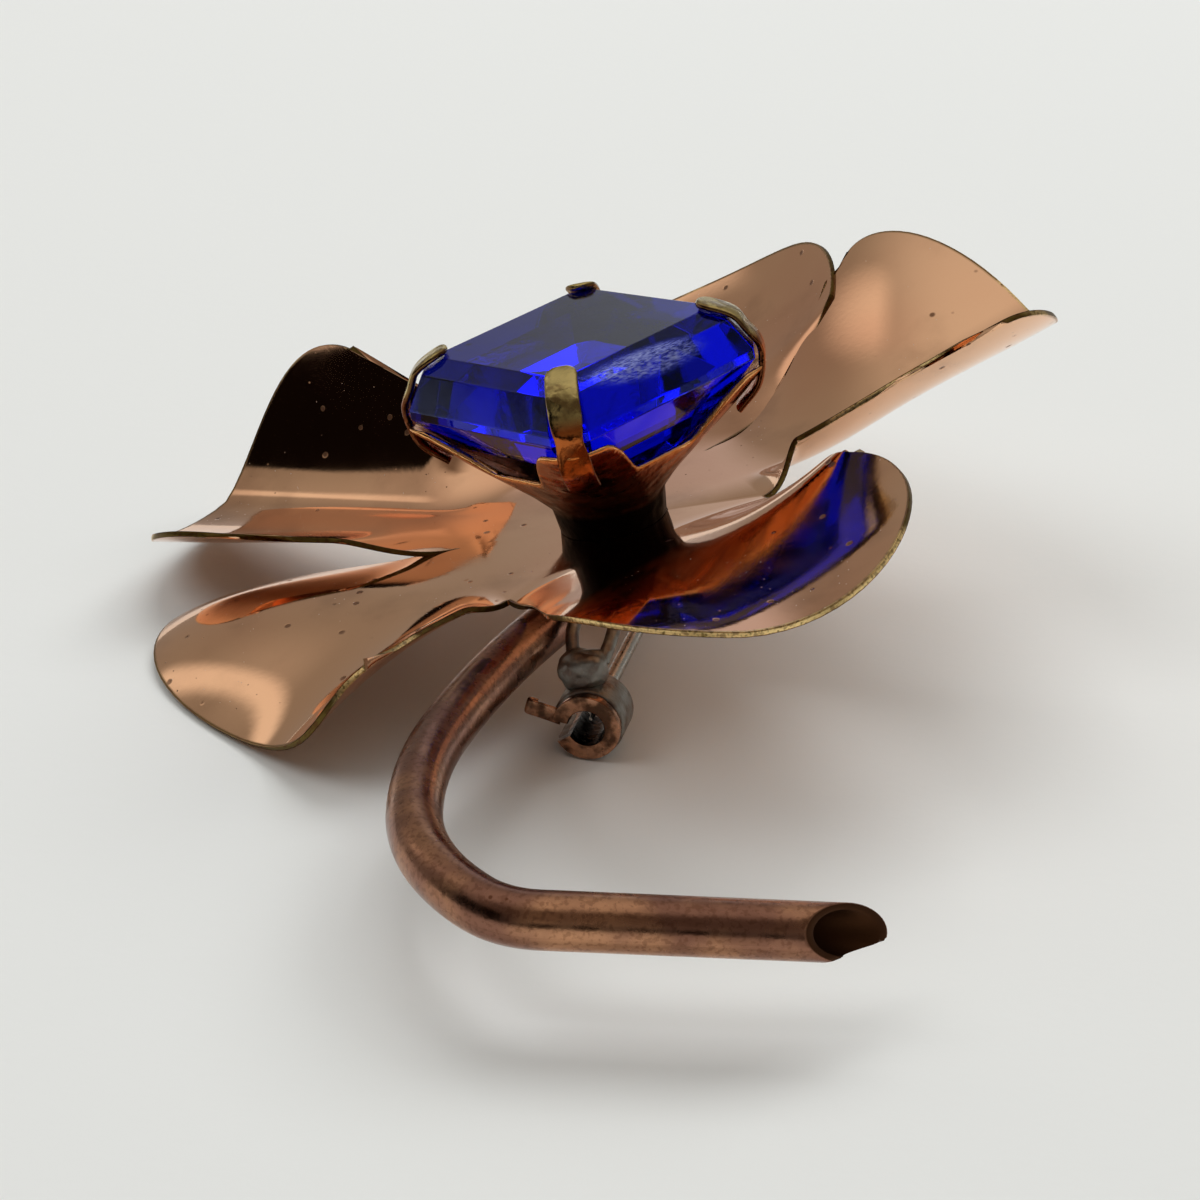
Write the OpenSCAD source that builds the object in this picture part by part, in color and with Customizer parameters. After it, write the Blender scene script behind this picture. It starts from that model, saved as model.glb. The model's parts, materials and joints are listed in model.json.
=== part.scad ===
// Flower brooch lying face up on a table: five petals bent from one sheet, a square
// stone in a four-prong cup, a bent tube for a stem, and a pin with a safety catch behind.
// All sizes are in millimetres. The table top is the plane z = 0.
// The flower's own frame has its middle on top of the sheet and z square to the sheet.
// Azimuths in that frame run counterclockwise from x, seen from the front of the flower.

/* [Sheet] */
// Thickness of the petal sheet
sheet_t = 0.3; // [0.2:0.05:0.4]
// Cells from a petal's root to its tip
petal_rows = 14; // [8:1:16]
// Cells across a petal
petal_columns = 16; // [8:2:18]

/* [Stone] */
// Side of the square stone at its girdle
stone_side = 14.4; // [14.2:0.1:14.4]
// Height of the stone's table over the sheet
table_h = 10.7; // [10.7:0.1:10.9]
// Azimuth of the stone's right corner
stone_turn = -8.6; // [-20:0.2:0]

/* [Setting] */
// Height of the cup's rim in the middle of each side
rim_low = 4.6; // [3.8:0.1:5]
// Height of the rounded lobes beside each prong
rim_high = 7.3; // [6.5:0.1:7.4]
// Wall of the cup, measured level
cup_wall = 0.55; // [0.4:0.05:0.6]
// Width of a prong
prong_w = 1.7; // [1.6:0.1:2.2]
// Thickness of a prong
prong_t = 0.4; // [0.3:0.05:0.4]

/* [Stem] */
// Outer diameter of the stem's tube
stem_d = 2.6; // [2.4:0.1:2.6]
// Wall of the stem's tube
stem_wall = 0.3; // [0.25:0.05:0.6]
// Height of the stem's middle over the table
stem_h = 5.15; // [4.95:0.05:5.15]
// Length of the slanted cut at the free end
stem_cut_l = 3.8; // [2:0.05:5]

/* [Pin] */
// Distance from the catch's front face to the pin's rivet
pin_l = 17.5; // [16:0.5:18]
// Diameter of the pin wire
pin_d = 0.8; // [0.6:0.05:0.8]
// Outer diameter of the catch's ring
catch_d = 3.7; // [3.6:0.05:3.8]
// Width of the slot through which the pin leaves the catch
slot_w = 0.9; // [0.9:0.02:1]
// Distance from the sheet's top to the pin's line
pin_drop = 5.8; // [5.6:0.1:6]

/* [Rest] */
// Angle by which the flower leans to the left on the table
lean = 14.5; // [14:0.1:15]

/* [Hidden] */
$fn = 48;
eps = 0.01;
gap = 0.03;

// Place of the catch's ring and azimuth of the pin's line, in the flower's frame
catch_at = [-3.95, -12.2, -pin_drop];
pin_az = 71;
// Turn of the whole brooch about z, and the level place of the flower's middle
rest_turn = 6.4;
flower_at = [1.03, 5.02];
// Height of the flower's middle over the table: the catch's ring touches the table
catch_up = catch_at * [sin(pin_az) * sin(lean), -cos(pin_az) * sin(lean), cos(lean)];
flower_h = catch_d / 2 - catch_up;

// The slits' inner ends: azimuth, distance from the middle
SLITS = [[-129.4, 10.3], [-12.6, 7.8], [52, 9], [113, 9], [175, 8.7]];

// One row for each petal, between one slit and the next. Angles in degrees. Columns:
AZ = 0;       // azimuth of the petal's axis
REACH = 1;    // distance of the tip, if the sheet were flat
TIP = 2;      // depth of the rounded end
HALF = 3;     // half width
SHIFT = 4;    // sideways shift of the rounded end
RISE = 5;     // slope reached behind the root
RISE_IN = 6;  // length over which that slope is reached
CURL = 7;     // further slope at the tip
ROLL_R = 8;   // roll of the clockwise edge
ROLL_L = 9;   // roll of the other edge
POW_R = 10;   // growth of the clockwise roll towards the edge
POW_L = 11;   // growth of the other roll
ROLL_IN = 12; // length over which both rolls are reached
TWIST = 13;   // twist about the petal's axis
BOW = 14;     // bow of the root towards the flower's middle
PETALS = [
    // az, reach, tip, half, shift, rise, in, curl, rolls r, l, powers r, l, in, twist, bow
    [-81, 23.5, 8.4, 9.5, 2.4, 11.1, 1.5, -9.1, -9.1, 36, 0.84, 0.82, 7.9, -12.7, 1.6],
    [14.8, 25.9, 4, 11.1, 0.9, 21.5, 9, -9.9, 70.5, -12, 0.4, 2, 2.6, 25.7, 0],
    [86.2, 27.6, 9.5, 12.8, -3.3, -5, 5, 30, 33.7, 0, 1.24, 1.5, 6.9, -9.9, 0],
    [144.9, 27.1, 6, 10.7, 0.8, 1.5, 5, -0.8, 72.9, 36, 0.4, 0.86, 6, -3.9, 0],
    [204, 24.9, 5.5, 10.8, -2.5, 1.9, 4, -37.3, -28, 100, 1.9, 1.85, 3, -17.6, 0]
];
// Half angle of each petal's rounded end, and radius of the flat middle for the slopes
petal_sweep = 112;
// Margin by which a line across a petal stops before it would meet its neighbour
line_margin = 1.2;
core_r = 8;
// Places at which a roll or a slope is added up
STEPS = 16;
MIDS = [for (i = [0 : STEPS - 1]) (i + 0.5) / STEPS];

// The stone's rings from the table down: height under the table, half side, corner cut
half_side = stone_side / 2;
STONE = [[0, 5.3, 1], [0.65, 6.35, 1.2], [2.4, half_side, 1.4], [2.9, half_side, 1.4],
         [4.9, 5.7, 1.2], [7.5, 2.9, 0.7], [8.1, 0.6, 0.25]];

// The cup's outside: height over the sheet, half width, squareness (2 is round)
CUP = [[gap, 2.9, 2], [1.5, 3.1, 2], [2.6, 4.0, 2.2], [4.6, 5.75, 3.4], [6.5, 7.1, 6], [9, 8.9, 9]];
// Place of the cup's axis on the sheet
cup_at = [-0.3, 0];
cup_floor = 0.55;
cup_sides = 64;
cup_rows = 7;
// The lobes: half width in degrees, and the stretch over which the rim falls away
lobe_half = 27;
lobe_fall = 17;
// A prong's middle line over the corner: distance from the axis, height over the sheet
PRONG = [[7.8, 5], [9.05, 6.2], [9.47, 7.5], [9.47, 8.4], [9, 9.25], [8.45, 10.15], [7.3, 10.8], [6.6, 11]];

// The stem from its hidden end, level from the flower's middle: arcs with radius and turn,
// and the straight run to the cut
stem_start = [-2.9, -7.65];
stem_heading = 242.2;
STEM = [[65, 12.1], [23, 19.5], [10.9, 41.7], [3.9, 44.5]];
stem_run = 11.2;
// Direction round the tube in which the cut reaches farthest: back and down
stem_cut_turn = -30;
// A second cut takes off the tube's underside at the tip: its place at the tube's middle line,
// and how far it moves on for each millimetre sideways and up
stem_trim = [3.2, 1.3, 3];
stem_sides = 20;
stem_step = 6;

// The catch: ring, sleeve and the lump of solder that holds them, along the pin's line
ring_l = 2.2;
sleeve_r = 1.3;
sleeve_gap = 0.04;
eye_r = 0.95;
flange_r = 1.75;
flange_t = 0.5;
lip_r = 1.6;
lip_t = 0.3;
tab_angle = 153;
tab_r = 3.3;
tab_w = 0.9;
lump = [2.7, 1.9, 2.2];
lump_r = 0.5;
foot_r = 1.2;
foot_t = 0.4;
foot_at = [0.9, 5.8];
leg_r = 0.35;
// Legs of the catch: foot end and lump end, each across, along, up
LEGS = [[[0.3, 5.5], [-0.5, 1.4, 3.2]], [[1.5, 5.4], [1, 1.4, 2.7]]];

// The pin's joint: two leaves with a rivet square to the sheet
leaf_t = 0.55;
leaf_gap = 0.5;
leaf_w = 2.4;
rivet_r = 0.45;
rivet_fit = 0.05;
head_r = 1.2;
head_end = 1.6;
strap_y = 2.0;
strap_t = 0.5;
joint_foot = [3.2, 3.0, 0.4];
pin_eye_r = 1.15;
pin_end = 0.5;
point_l = 2.6;
point_r = 0.08;

// From the flower's frame to the table
module lying() {
    translate([flower_at.x, flower_at.y, flower_h])
        rotate([0, 0, rest_turn + pin_az - 90])
            rotate([0, -lean, 0])
                rotate([0, 0, 90 - pin_az])
                    children();
}

// From the pin's frame, y along the pin away from the catch, to the table
module on_pin() {
    lying()
        translate(catch_at)
            rotate([0, 0, pin_az - 90])
                children();
}

// A cylinder along y
module rod(r, from, to) {
    translate([0, from, 0])
        rotate([-90, 0, 0])
            cylinder(r = r, h = to - from);
}

// A cylinder from one point to another
module bar(a, b, r) {
    v = b - a;
    translate(a)
        rotate([0, acos(v.z / norm(v)), atan2(v.y, v.x)])
            cylinder(r = r, h = norm(v));
}

function mean(v) = v * [for (x = v) 1] / len(v);
function ramp(d, w) = let (u = min(max(d / w, 0), 1)) u * u * (3 - 2 * u);
function polar(e) = [e[1] * cos(e[0]), e[1] * sin(e[0])];
function turned(v, a) = [v.x * cos(a) - v.y * sin(a), v.x * sin(a) + v.y * cos(a)];

// Angle by which the sheet has rolled up at y beside the petal's axis
function roll_at(p, d, y) = ramp(d, p[ROLL_IN])
    * (y > 0 ? p[ROLL_L] * pow(y / p[HALF], p[POW_L]) : p[ROLL_R] * pow(-y / p[HALF], p[POW_R]));
// Slope of the petal's axis at a distance d from its root
function rise_at(p, d) = p[RISE] * ramp(d, p[RISE_IN]) + p[CURL] * pow(min(d / (p[REACH] - core_r), 2), 2);

// Point of the petal's root between two slit ends, k from 0 to 1: their chord, bowed inwards
function root_point(p, e0, e1, k) =
    let (
        chord = polar(e1) - polar(e0),
        inward = [-chord.y, chord.x] / norm(chord)
    )
    polar(e0) + chord * k + inward * p[BOW] * 4 * k * (1 - k);

// How the root's point moves with t, in the petal's own axes
function root_step(p, e0, e1, t) =
    let (
        chord = polar(e1) - polar(e0),
        inward = [-chord.y, chord.x] / norm(chord)
    )
    turned(chord / 2 - inward * p[BOW] * 2 * t, -p[AZ]);

// Share of the line from root to tip that the sheet keeps: less than 1 where lines would cross
function line_share(line, from_step, to_step) =
    let (open = cross(line, from_step), shut = max(-cross(line, to_step), 0))
    open / (open + line_margin * shut);

// Point of a petal's top: s from root to tip, t from the clockwise edge -1 to the other edge 1
function petal_point(p, e0, e1, s, t) =
    let (
        root = turned(root_point(p, e0, e1, (t + 1) / 2), -p[AZ]),
        phi = petal_sweep * t,
        tip = [p[REACH] - p[TIP] + p[TIP] * cos(phi), p[SHIFT] + p[HALF] * sin(phi)],
        tip_step = [-p[TIP] * sin(phi), p[HALF] * cos(phi)] * petal_sweep * PI / 180,
        flat = root + (tip - root) * s * line_share(tip - root, root_step(p, e0, e1, t), tip_step),
        d = max(flat.x - root.x, 0),
        roll_y = mean([for (m = MIDS) cos(roll_at(p, d, flat.y * m))]) * flat.y,
        roll_z = mean([for (m = MIDS) sin(roll_at(p, d, flat.y * m))]) * abs(flat.y),
        side = turned([roll_y, roll_z], p[TWIST] * ramp(d, p[REACH] - core_r)),
        along = root.x + mean([for (m = MIDS) cos(rise_at(p, d * m))]) * d,
        up = mean([for (m = MIDS) sin(rise_at(p, d * m))]) * d,
        slope = rise_at(p, d),
        level = turned([along - side.y * sin(slope), side.x], p[AZ])
    )
    [level.x, level.y, up + side.y * cos(slope)];

function petal_grid(p, e0, e1) = [
    for (i = [0 : petal_rows]) [
        for (j = [0 : petal_columns])
            i == 0 ? [each root_point(p, e0, e1, j / petal_columns), 0]
                   : petal_point(p, e0, e1, i / petal_rows, 2 * j / petal_columns - 1)
    ]
];

// The same grid on the sheet's underside: each point moved back along the grid's normal
function under_grid(g) = [
    for (i = [0 : petal_rows]) [
        for (j = [0 : petal_columns])
            let (
                out = g[min(i + 1, petal_rows)][j] - g[max(i - 1, 0)][j],
                across = g[i][min(j + 1, petal_columns)] - g[i][max(j - 1, 0)],
                n = i == 0 ? [0, 0, 1] : cross(out, across)
            )
            g[i][j] - sheet_t * n / norm(n)
    ]
];

function quad(a, b, c, d) = [[a, b, c], [a, c, d]];

// The sheet as one closed polyhedron: flat middle, five petals, and their cut rims
module petals() {
    count = len(PETALS);
    wide = petal_columns + 1;
    layer = (petal_rows + 1) * wide;
    tops = [for (k = [0 : count - 1]) petal_grid(PETALS[k], SLITS[k], SLITS[(k + 1) % count])];
    points = concat(
        [for (g = tops) each [for (row = g) each row]],
        [for (g = tops) each [for (row = under_grid(g)) each row]],
        [[0, 0, 0], [0, 0, -sheet_t]]
    );
    under = count * layer;
    middle = 2 * under;
    faces = [
        for (k = [0 : count - 1])
            let (o = k * layer)
            each concat(
                [for (i = [0 : petal_rows - 1], j = [0 : petal_columns - 1])
                    let (a = o + i * wide + j)
                    each concat(
                        quad(a, a + 1, a + wide + 1, a + wide),
                        quad(under + a, under + a + wide, under + a + wide + 1, under + a + 1)
                    )],
                [for (i = [0 : petal_rows - 1])
                    let (a = o + i * wide, b = a + petal_columns)
                    each concat(
                        quad(a, a + wide, under + a + wide, under + a),
                        quad(b + wide, b, under + b, under + b + wide)
                    )],
                [for (j = [0 : petal_columns - 1])
                    let (a = o + petal_rows * wide + j, b = o + j)
                    each concat(
                        quad(a, a + 1, under + a + 1, under + a),
                        [[middle, b + 1, b], [middle + 1, under + b, under + b + 1]]
                    )]
            )
    ];
    color("peru")
        lying()
            polyhedron(points, faces);
}

// To the cup's own axes, square to the stone's sides
module on_cup() {
    translate([cup_at.x, cup_at.y, 0])
        rotate([0, 0, stone_turn + 45])
            children();
}

// Value of a table's column at height z, between its rows
function at_height(table, column, z) = lookup(z, [for (row = table) [row[0], row[column]]]);

// Distance of the cup's outside from its axis at an angle from the middle of a side
function cup_r(a, z) =
    let (power = at_height(CUP, 2, z))
    at_height(CUP, 1, z) / pow(pow(abs(cos(a)), power) + pow(abs(sin(a)), power), 1 / power);

// Height of the cup's rim: lobes at the corners, low between them
function rim_h(a) =
    let (off = abs((a % 90) - 45))
    rim_low + (rim_high - rim_low) * (1 - ramp(off - lobe_half + lobe_fall, lobe_fall));

function cup_ring(share, inset) = [
    for (i = [0 : cup_sides - 1])
        let (
            a = 360 * i / cup_sides,
            low = inset > 0 ? cup_floor : gap,
            z = low + share * (rim_h(a) - low),
            r = cup_r(a, z) - inset
        )
        [r * cos(a), r * sin(a), z]
];

// The stamped cup: a closed wall that starts round and ends square with lobes at its corners
module cup() {
    rings = concat(
        [for (i = [0 : cup_rows]) cup_ring(i / cup_rows, 0)],
        [for (i = [cup_rows : -1 : 0]) cup_ring(i / cup_rows, cup_wall)]
    );
    last = len(rings) - 1;
    start = len(rings) * cup_sides;
    points = concat([for (r = rings) each r], [[0, 0, gap], [0, 0, cup_floor]]);
    faces = concat(
        [for (i = [0 : last - 1], j = [0 : cup_sides - 1])
            let (a = i * cup_sides + j, b = i * cup_sides + (j + 1) % cup_sides)
            each quad(a, a + cup_sides, b + cup_sides, b)],
        [for (j = [0 : cup_sides - 1]) [start, j, (j + 1) % cup_sides]],
        [for (j = [0 : cup_sides - 1])
            [start + 1, last * cup_sides + (j + 1) % cup_sides, last * cup_sides + j]]
    );
    polyhedron(points, faces);
}

// Outline of a strip of even thickness about a middle line
function strip(path, t) =
    let (
        last = len(path) - 1,
        normals = [for (i = [0 : last])
            let (v = path[min(i + 1, last)] - path[max(i - 1, 0)])
            [-v.y, v.x] / norm(v)]
    )
    concat(
        [for (i = [0 : last]) path[i] + normals[i] * t / 2],
        [for (i = [last : -1 : 0]) path[i] - normals[i] * t / 2]
    );

// A prong bent over the stone's corner, with a round tip
module prong() {
    tip = PRONG[len(PRONG) - 1];
    intersection() {
        rotate([90, 0, 0])
            linear_extrude(height = prong_w, center = true)
                polygon(strip(PRONG, prong_t));
        union() {
            translate([tip.x + prong_w / 2, 0, 0])
                cylinder(d = prong_w, h = 2 * table_h);
            translate([tip.x + prong_w / 2, -prong_w / 2, 0])
                cube([table_h, prong_w, 2 * table_h]);
        }
    }
}

module setting() {
    color("chocolate")
        lying()
            on_cup()
                union() {
                    cup();
                    for (i = [0 : 3])
                        rotate([0, 0, 90 * i + 45])
                            prong();
                }
}

// One eight-cornered ring of the stone
function stone_ring(row) =
    let (h = row[1], c = row[1] - row[2], z = table_h - row[0])
    [[h, -c, z], [h, c, z], [c, h, z], [-c, h, z], [-h, c, z], [-h, -c, z], [-c, -h, z], [c, -h, z]];

module stone() {
    last = len(STONE) - 1;
    points = [for (row = STONE) each stone_ring(row)];
    faces = concat(
        [[7, 6, 5, 4, 3, 2, 1, 0], [for (j = [0 : 7]) last * 8 + j]],
        [for (i = [0 : last - 1], j = [0 : 7])
            [i * 8 + j, i * 8 + (j + 1) % 8, (i + 1) * 8 + (j + 1) % 8, (i + 1) * 8 + j]]
    );
    color("mediumblue")
        lying()
            on_cup()
                polyhedron(points, faces);
}

// Point and heading of the stem's middle line after a turn u of an arc with radius r
function on_arc(p, h, r, u) = [p + r * [sin(h + u) - sin(h), cos(h) - cos(h + u)], h + u];

// Stations of the stem from arc number i on: level place and heading
function stem_line(i, p, h) =
    i == len(STEM) ? [[p, h], [p + (stem_run + stem_cut_l / 2) * [cos(h), sin(h)], h]]
    : let (
        r = STEM[i][0],
        turn = STEM[i][1],
        steps = ceil(turn / stem_step),
        end = on_arc(p, h, r, turn)
    )
    concat([for (k = [0 : steps - 1]) on_arc(p, h, r, turn * k / steps)], stem_line(i + 1, end[0], end[1]));

// One ring of the tube: the last one lies in the slanted cut
function stem_ring(station, r, cut) = [
    for (k = [0 : stem_sides - 1])
        let (
            a = 360 * k / stem_sides,
            side = r * cos(a),
            up = r * sin(a),
            slant = r / (stem_d / 2) * cos(a - stem_cut_turn) * stem_cut_l / 2,
            trim = stem_trim * [1, side, up],
            along = cut * min(slant, trim),
            h = station[1]
        )
        [station[0].x + along * cos(h) - side * sin(h),
         station[0].y + along * sin(h) + side * cos(h),
         stem_h + up]
];

// The stem: an open tube, level with the table, with its free end cut slantwise from two sides
module stem() {
    line = stem_line(0, flower_at + stem_start, stem_heading);
    last = len(line) - 1;
    outer = [for (i = [0 : last]) stem_ring(line[i], stem_d / 2, i == last ? 1 : 0)];
    inner = [for (i = [last : -1 : 0]) stem_ring(line[i], stem_d / 2 - stem_wall, i == last ? 1 : 0)];
    rings = concat(outer, inner);
    count = len(rings);
    faces = [
        for (i = [0 : count - 1], j = [0 : stem_sides - 1])
            let (
                a = i * stem_sides,
                b = (i + 1) % count * stem_sides,
                k = (j + 1) % stem_sides
            )
            each quad(a + j, b + j, b + k, a + k)
    ];
    color("sienna")
        polyhedron([for (ring = rings) each ring], faces);
}

// The side slot of the ring and of its sleeve, on the left of the pin
module slot(from, to) {
    translate([-flange_r - 1, from, -slot_w / 2])
        cube([flange_r + 1, to - from, slot_w]);
}

// The catch: its ring in a lump of solder, two legs, and a foot under the sheet
module catch() {
    foot_z = pin_drop - sheet_t - gap;
    color("darkgoldenrod")
        on_pin()
            difference() {
                union() {
                    rod(catch_d / 2, 0, ring_l);
                    translate([-lump.x / 2 + lump_r, (ring_l - lump.y) / 2, catch_d / 2 - 0.4])
                        cube([lump.x - 2 * lump_r, lump.y, lump.z]);
                    translate([-lump.x / 2, (ring_l - lump.y) / 2, catch_d / 2 - 0.4 + lump_r])
                        cube([lump.x, lump.y, lump.z - 2 * lump_r]);
                    for (leg = LEGS)
                        bar([leg[0].x, leg[0].y, foot_z - foot_t], leg[1], leg_r);
                    translate([foot_at.x, foot_at.y, foot_z - foot_t])
                        cylinder(r = foot_r, h = foot_t);
                }
                rod(sleeve_r + sleeve_gap, -1, ring_l + 1);
                slot(-1, ring_l + 1);
            }
}

// The catch's turning sleeve with its thumb tab, drawn open
module catch_lever() {
    color("peru")
        on_pin()
            difference() {
                union() {
                    rod(flange_r, -flange_t - gap, -gap);
                    rod(sleeve_r, -flange_t, ring_l + lip_t);
                    rod(lip_r, ring_l + gap, ring_l + gap + lip_t);
                    rotate([0, -tab_angle, 0])
                        translate([sleeve_r, -flange_t - gap, -tab_w / 2])
                            cube([tab_r - sleeve_r, flange_t, tab_w]);
                }
                rod(eye_r, -1, ring_l + 2);
                slot(-1, ring_l + 2);
            }
}

// One leaf of the pin's joint, from its round front to the strap behind
module leaf(z) {
    translate([0, 0, z])
        difference() {
            union() {
                cylinder(r = leaf_w / 2, h = leaf_t);
                translate([-leaf_w / 2, 0, 0])
                    cube([leaf_w, strap_y + strap_t, leaf_t]);
            }
            translate([0, 0, -1])
                cylinder(r = rivet_r + sleeve_gap, h = leaf_t + 2);
        }
}

// The pin's joint: two leaves on a strap with a foot under the sheet
module pin_joint() {
    top = pin_drop - sheet_t - gap;
    color("darkgoldenrod")
        on_pin()
            translate([0, pin_l, 0])
                union() {
                    leaf(leaf_gap);
                    leaf(-leaf_gap - leaf_t);
                    translate([-leaf_w / 2, strap_y, -leaf_gap - leaf_t])
                        cube([leaf_w, strap_t, top + leaf_gap + leaf_t - joint_foot.z / 2]);
                    translate([-joint_foot.x / 2, strap_y + strap_t - joint_foot.y, top - joint_foot.z])
                        cube(joint_foot);
                }
}

// The rivet on which the pin turns
module pin_rivet() {
    head_from = leaf_gap + leaf_t + gap;
    color("gray")
        on_pin()
            translate([0, pin_l, 0])
                union() {
                    translate([0, 0, -head_from - eps])
                        cylinder(r = rivet_r, h = 2 * head_from + 2 * eps);
                    translate([0, 0, -head_end])
                        cylinder(r = head_r, h = head_end - head_from);
                    translate([0, 0, head_from])
                        cylinder(r = head_r * 0.7, h = (head_end - head_from) / 2);
                }
}

// The pin: an eye on the rivet and a straight wire with a point inside the catch
module pin() {
    r = pin_d / 2;
    shoulder = pin_end + point_l;
    color("silver")
        on_pin()
            difference() {
                union() {
                    translate([0, pin_l, -r])
                        cylinder(r = pin_eye_r, h = pin_d);
                    rod(r, shoulder, pin_l - rivet_r - 0.2);
                    translate([0, shoulder, 0])
                        rotate([90, 0, 0])
                            cylinder(r1 = r, r2 = point_r, h = point_l);
                }
                translate([0, pin_l, -1])
                    cylinder(r = rivet_r + rivet_fit, h = 2);
            }
}

petals();
setting();
stone();
stem();
catch();
catch_lever();
pin_joint();
pin_rivet();
pin();
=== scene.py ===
import json
import math

import bmesh
import bpy
import numpy as np
from mathutils import Matrix, Vector, noise


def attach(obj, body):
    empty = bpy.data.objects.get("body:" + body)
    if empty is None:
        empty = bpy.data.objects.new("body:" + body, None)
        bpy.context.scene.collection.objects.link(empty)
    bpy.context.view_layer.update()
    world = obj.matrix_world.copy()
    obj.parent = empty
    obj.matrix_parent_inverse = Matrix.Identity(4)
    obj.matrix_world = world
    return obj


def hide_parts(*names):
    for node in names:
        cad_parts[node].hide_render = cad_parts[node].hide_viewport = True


bl_info = {
    "name": "Flower Brooch",
    "version": (1, 0, 0),
    "blender": (4, 5, 0),
    "location": "View3D > Sidebar > Brooch",
    "description": "Dresses a sheet-metal flower brooch with its petals, setting, stone, stem and catch",
    "category": "Object",
}

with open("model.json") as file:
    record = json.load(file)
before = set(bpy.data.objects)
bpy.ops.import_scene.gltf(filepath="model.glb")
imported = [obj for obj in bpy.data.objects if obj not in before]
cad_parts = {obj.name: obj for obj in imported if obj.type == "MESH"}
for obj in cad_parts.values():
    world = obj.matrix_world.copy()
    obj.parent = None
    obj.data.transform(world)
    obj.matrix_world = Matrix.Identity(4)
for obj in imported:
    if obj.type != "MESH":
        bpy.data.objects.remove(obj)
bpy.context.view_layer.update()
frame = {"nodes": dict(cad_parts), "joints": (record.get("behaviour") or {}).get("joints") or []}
JOINTS = {j["name"]: j for j in frame["joints"]}

MM = 0.001

# Lengths are in millimetres and angles in degrees, unless a line says otherwise.
# Place of the catch's ring in the flower's frame, and azimuth of the pin's line there
CATCH_AT = np.array([-3.95, -12.2, -5.8])
PIN_AZ = 71
GAP = 0.03
# The sheet's underside over the pin's line, less the gap to what is soldered on
SHEET_UNDER = 5.8 - 0.3 - GAP

# The slits' inner ends: azimuth, distance from the middle
SLITS = ((-129.4, 10.3), (-12.6, 7.8), (52, 9), (113, 9), (175, 8.7))
# One row for each petal, between one slit and the next: azimuth, reach, depth of the rounded
# end, half width, sideways shift, rise and its length, curl at the tip, rolls of the clockwise
# and of the other edge, powers of both rolls, length of the rolls, twist, bow of the root
PETAL_COLUMNS = ("az", "reach", "tip", "half", "shift", "rise", "rise_in", "curl",
                 "roll_r", "roll_l", "pow_r", "pow_l", "roll_in", "twist", "bow")
PETALS = (
    (-81, 23.5, 8.4, 9.5, 2.4, 11.1, 1.5, -9.1, -9.1, 36, 0.84, 0.82, 7.9, -12.7, 1.6),
    (14.8, 25.9, 4, 11.1, 0.9, 21.5, 9, -9.9, 70.5, -12, 0.4, 2, 2.6, 25.7, 0),
    (86.2, 27.6, 9.5, 12.8, -3.3, -5, 5, 30, 33.7, 0, 1.24, 1.5, 6.9, -9.9, 0),
    (144.9, 27.1, 6, 10.7, 0.8, 1.5, 5, -0.8, 72.9, 36, 0.4, 0.86, 6, -3.9, 0),
    (204, 24.9, 5.5, 10.8, -2.5, 1.9, 4, -37.3, -28, 100, 1.9, 1.85, 3, -17.6, 0),
)
# Half turn of the arc round a tip, and how early a line ends that would cross its neighbour
PETAL_SWEEP = 112
LINE_MARGIN = 1.2
# Radius of the flat middle, which sets the length over which a petal curls and twists, and the
# even steps over which slopes are added up
CORE_R = 8
MIDS = (np.arange(16) + 0.5) / 16
# How far from the edge bare brass fades into the plating, its share on the underside, and the
# shares of a petal's length over which the worn rim and its brass begin at the root
RIM_FADE = 0.12
RIM_UNDER = 0.6
ROOT_ROUND = 0.06
ROOT_FADE = 0.03

# The stone's rings from the table down: height under the table, half side, corner cut
STONE = ((0, 5.3, 1), (0.65, 6.35, 1.2), (2.4, 7.2, 1.4), (2.9, 7.2, 1.4),
         (4.9, 5.7, 1.2), (7.5, 2.9, 0.7), (8.1, 0.6, 0.25))
# The table's height over the sheet, the stone's turn, and the ring where the foil begins
TABLE_H = 10.7
STONE_TURN = -8.6
FOIL_RING = 4
# The pale streak on the stone's front right bevel, rubbed scuffs with a painted highlight, in the row's
# frame: middle, turn, half sizes
STREAK_AT = np.array([1.9, 0.5, 18.15])
STREAK_TURN = 40
STREAK_SIZE = np.array([4.8, 0.9, 1.4])

# The cup's outside: height over the sheet, half width, squareness
CUP = ((0.03, 2.9, 2), (1.5, 3.1, 2), (2.6, 4.0, 2.2), (4.6, 5.75, 3.4), (6.5, 7.1, 6), (9, 8.9, 9))
CUP_AT = (-0.3, 0, 0)
CUP_FLOOR = 0.55
# The rim's heights between the corners and at a corner's lobe, the angle from the corner where
# the lobe ends, and the angle over which it falls
RIM_LOW = 4.6
RIM_HIGH = 7.3
LOBE_HALF = 27
LOBE_FALL = 17
# The rubbed lip: how far below the rim it begins to fade, and over what height
LIP_KEEP = 0.15
LIP_FADE = 0.25
# A prong's middle line over the corner: distance from the axis, height over the sheet
PRONG = ((7.8, 5), (9.05, 6.2), (9.47, 7.5), (9.47, 8.4),
         (9, 9.25), (8.45, 10.15), (7.3, 10.8), (6.6, 11))
# Its waist: share of the width lost, height and half length
PRONG_WAIST = (0.16, 8, 0.7)

# The stem from its hidden end: place and heading, arcs with radius and turn, the straight run
# to the cut, the height of its middle line, and the cut's length and turn round the tube
STEM_START = (-1.87, -2.63)
STEM_HEADING = 242.2
STEM_ARCS = ((65, 12.1), (23, 19.5), (10.9, 41.7), (3.9, 44.5))
STEM_RUN = 11.2
STEM_H = 5.15
STEM_CUT_L = 3.8
STEM_CUT_TURN = -30
# The second cut, from below: its place at the tube's middle line, then per mm sideways and up
STEM_TRIM = (3.2, 1.3, 3)
# How far its edges are worn, and the stations over which the cut's slant is reached
STEM_WORN = 0.06
STEM_EASE = 8

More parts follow.
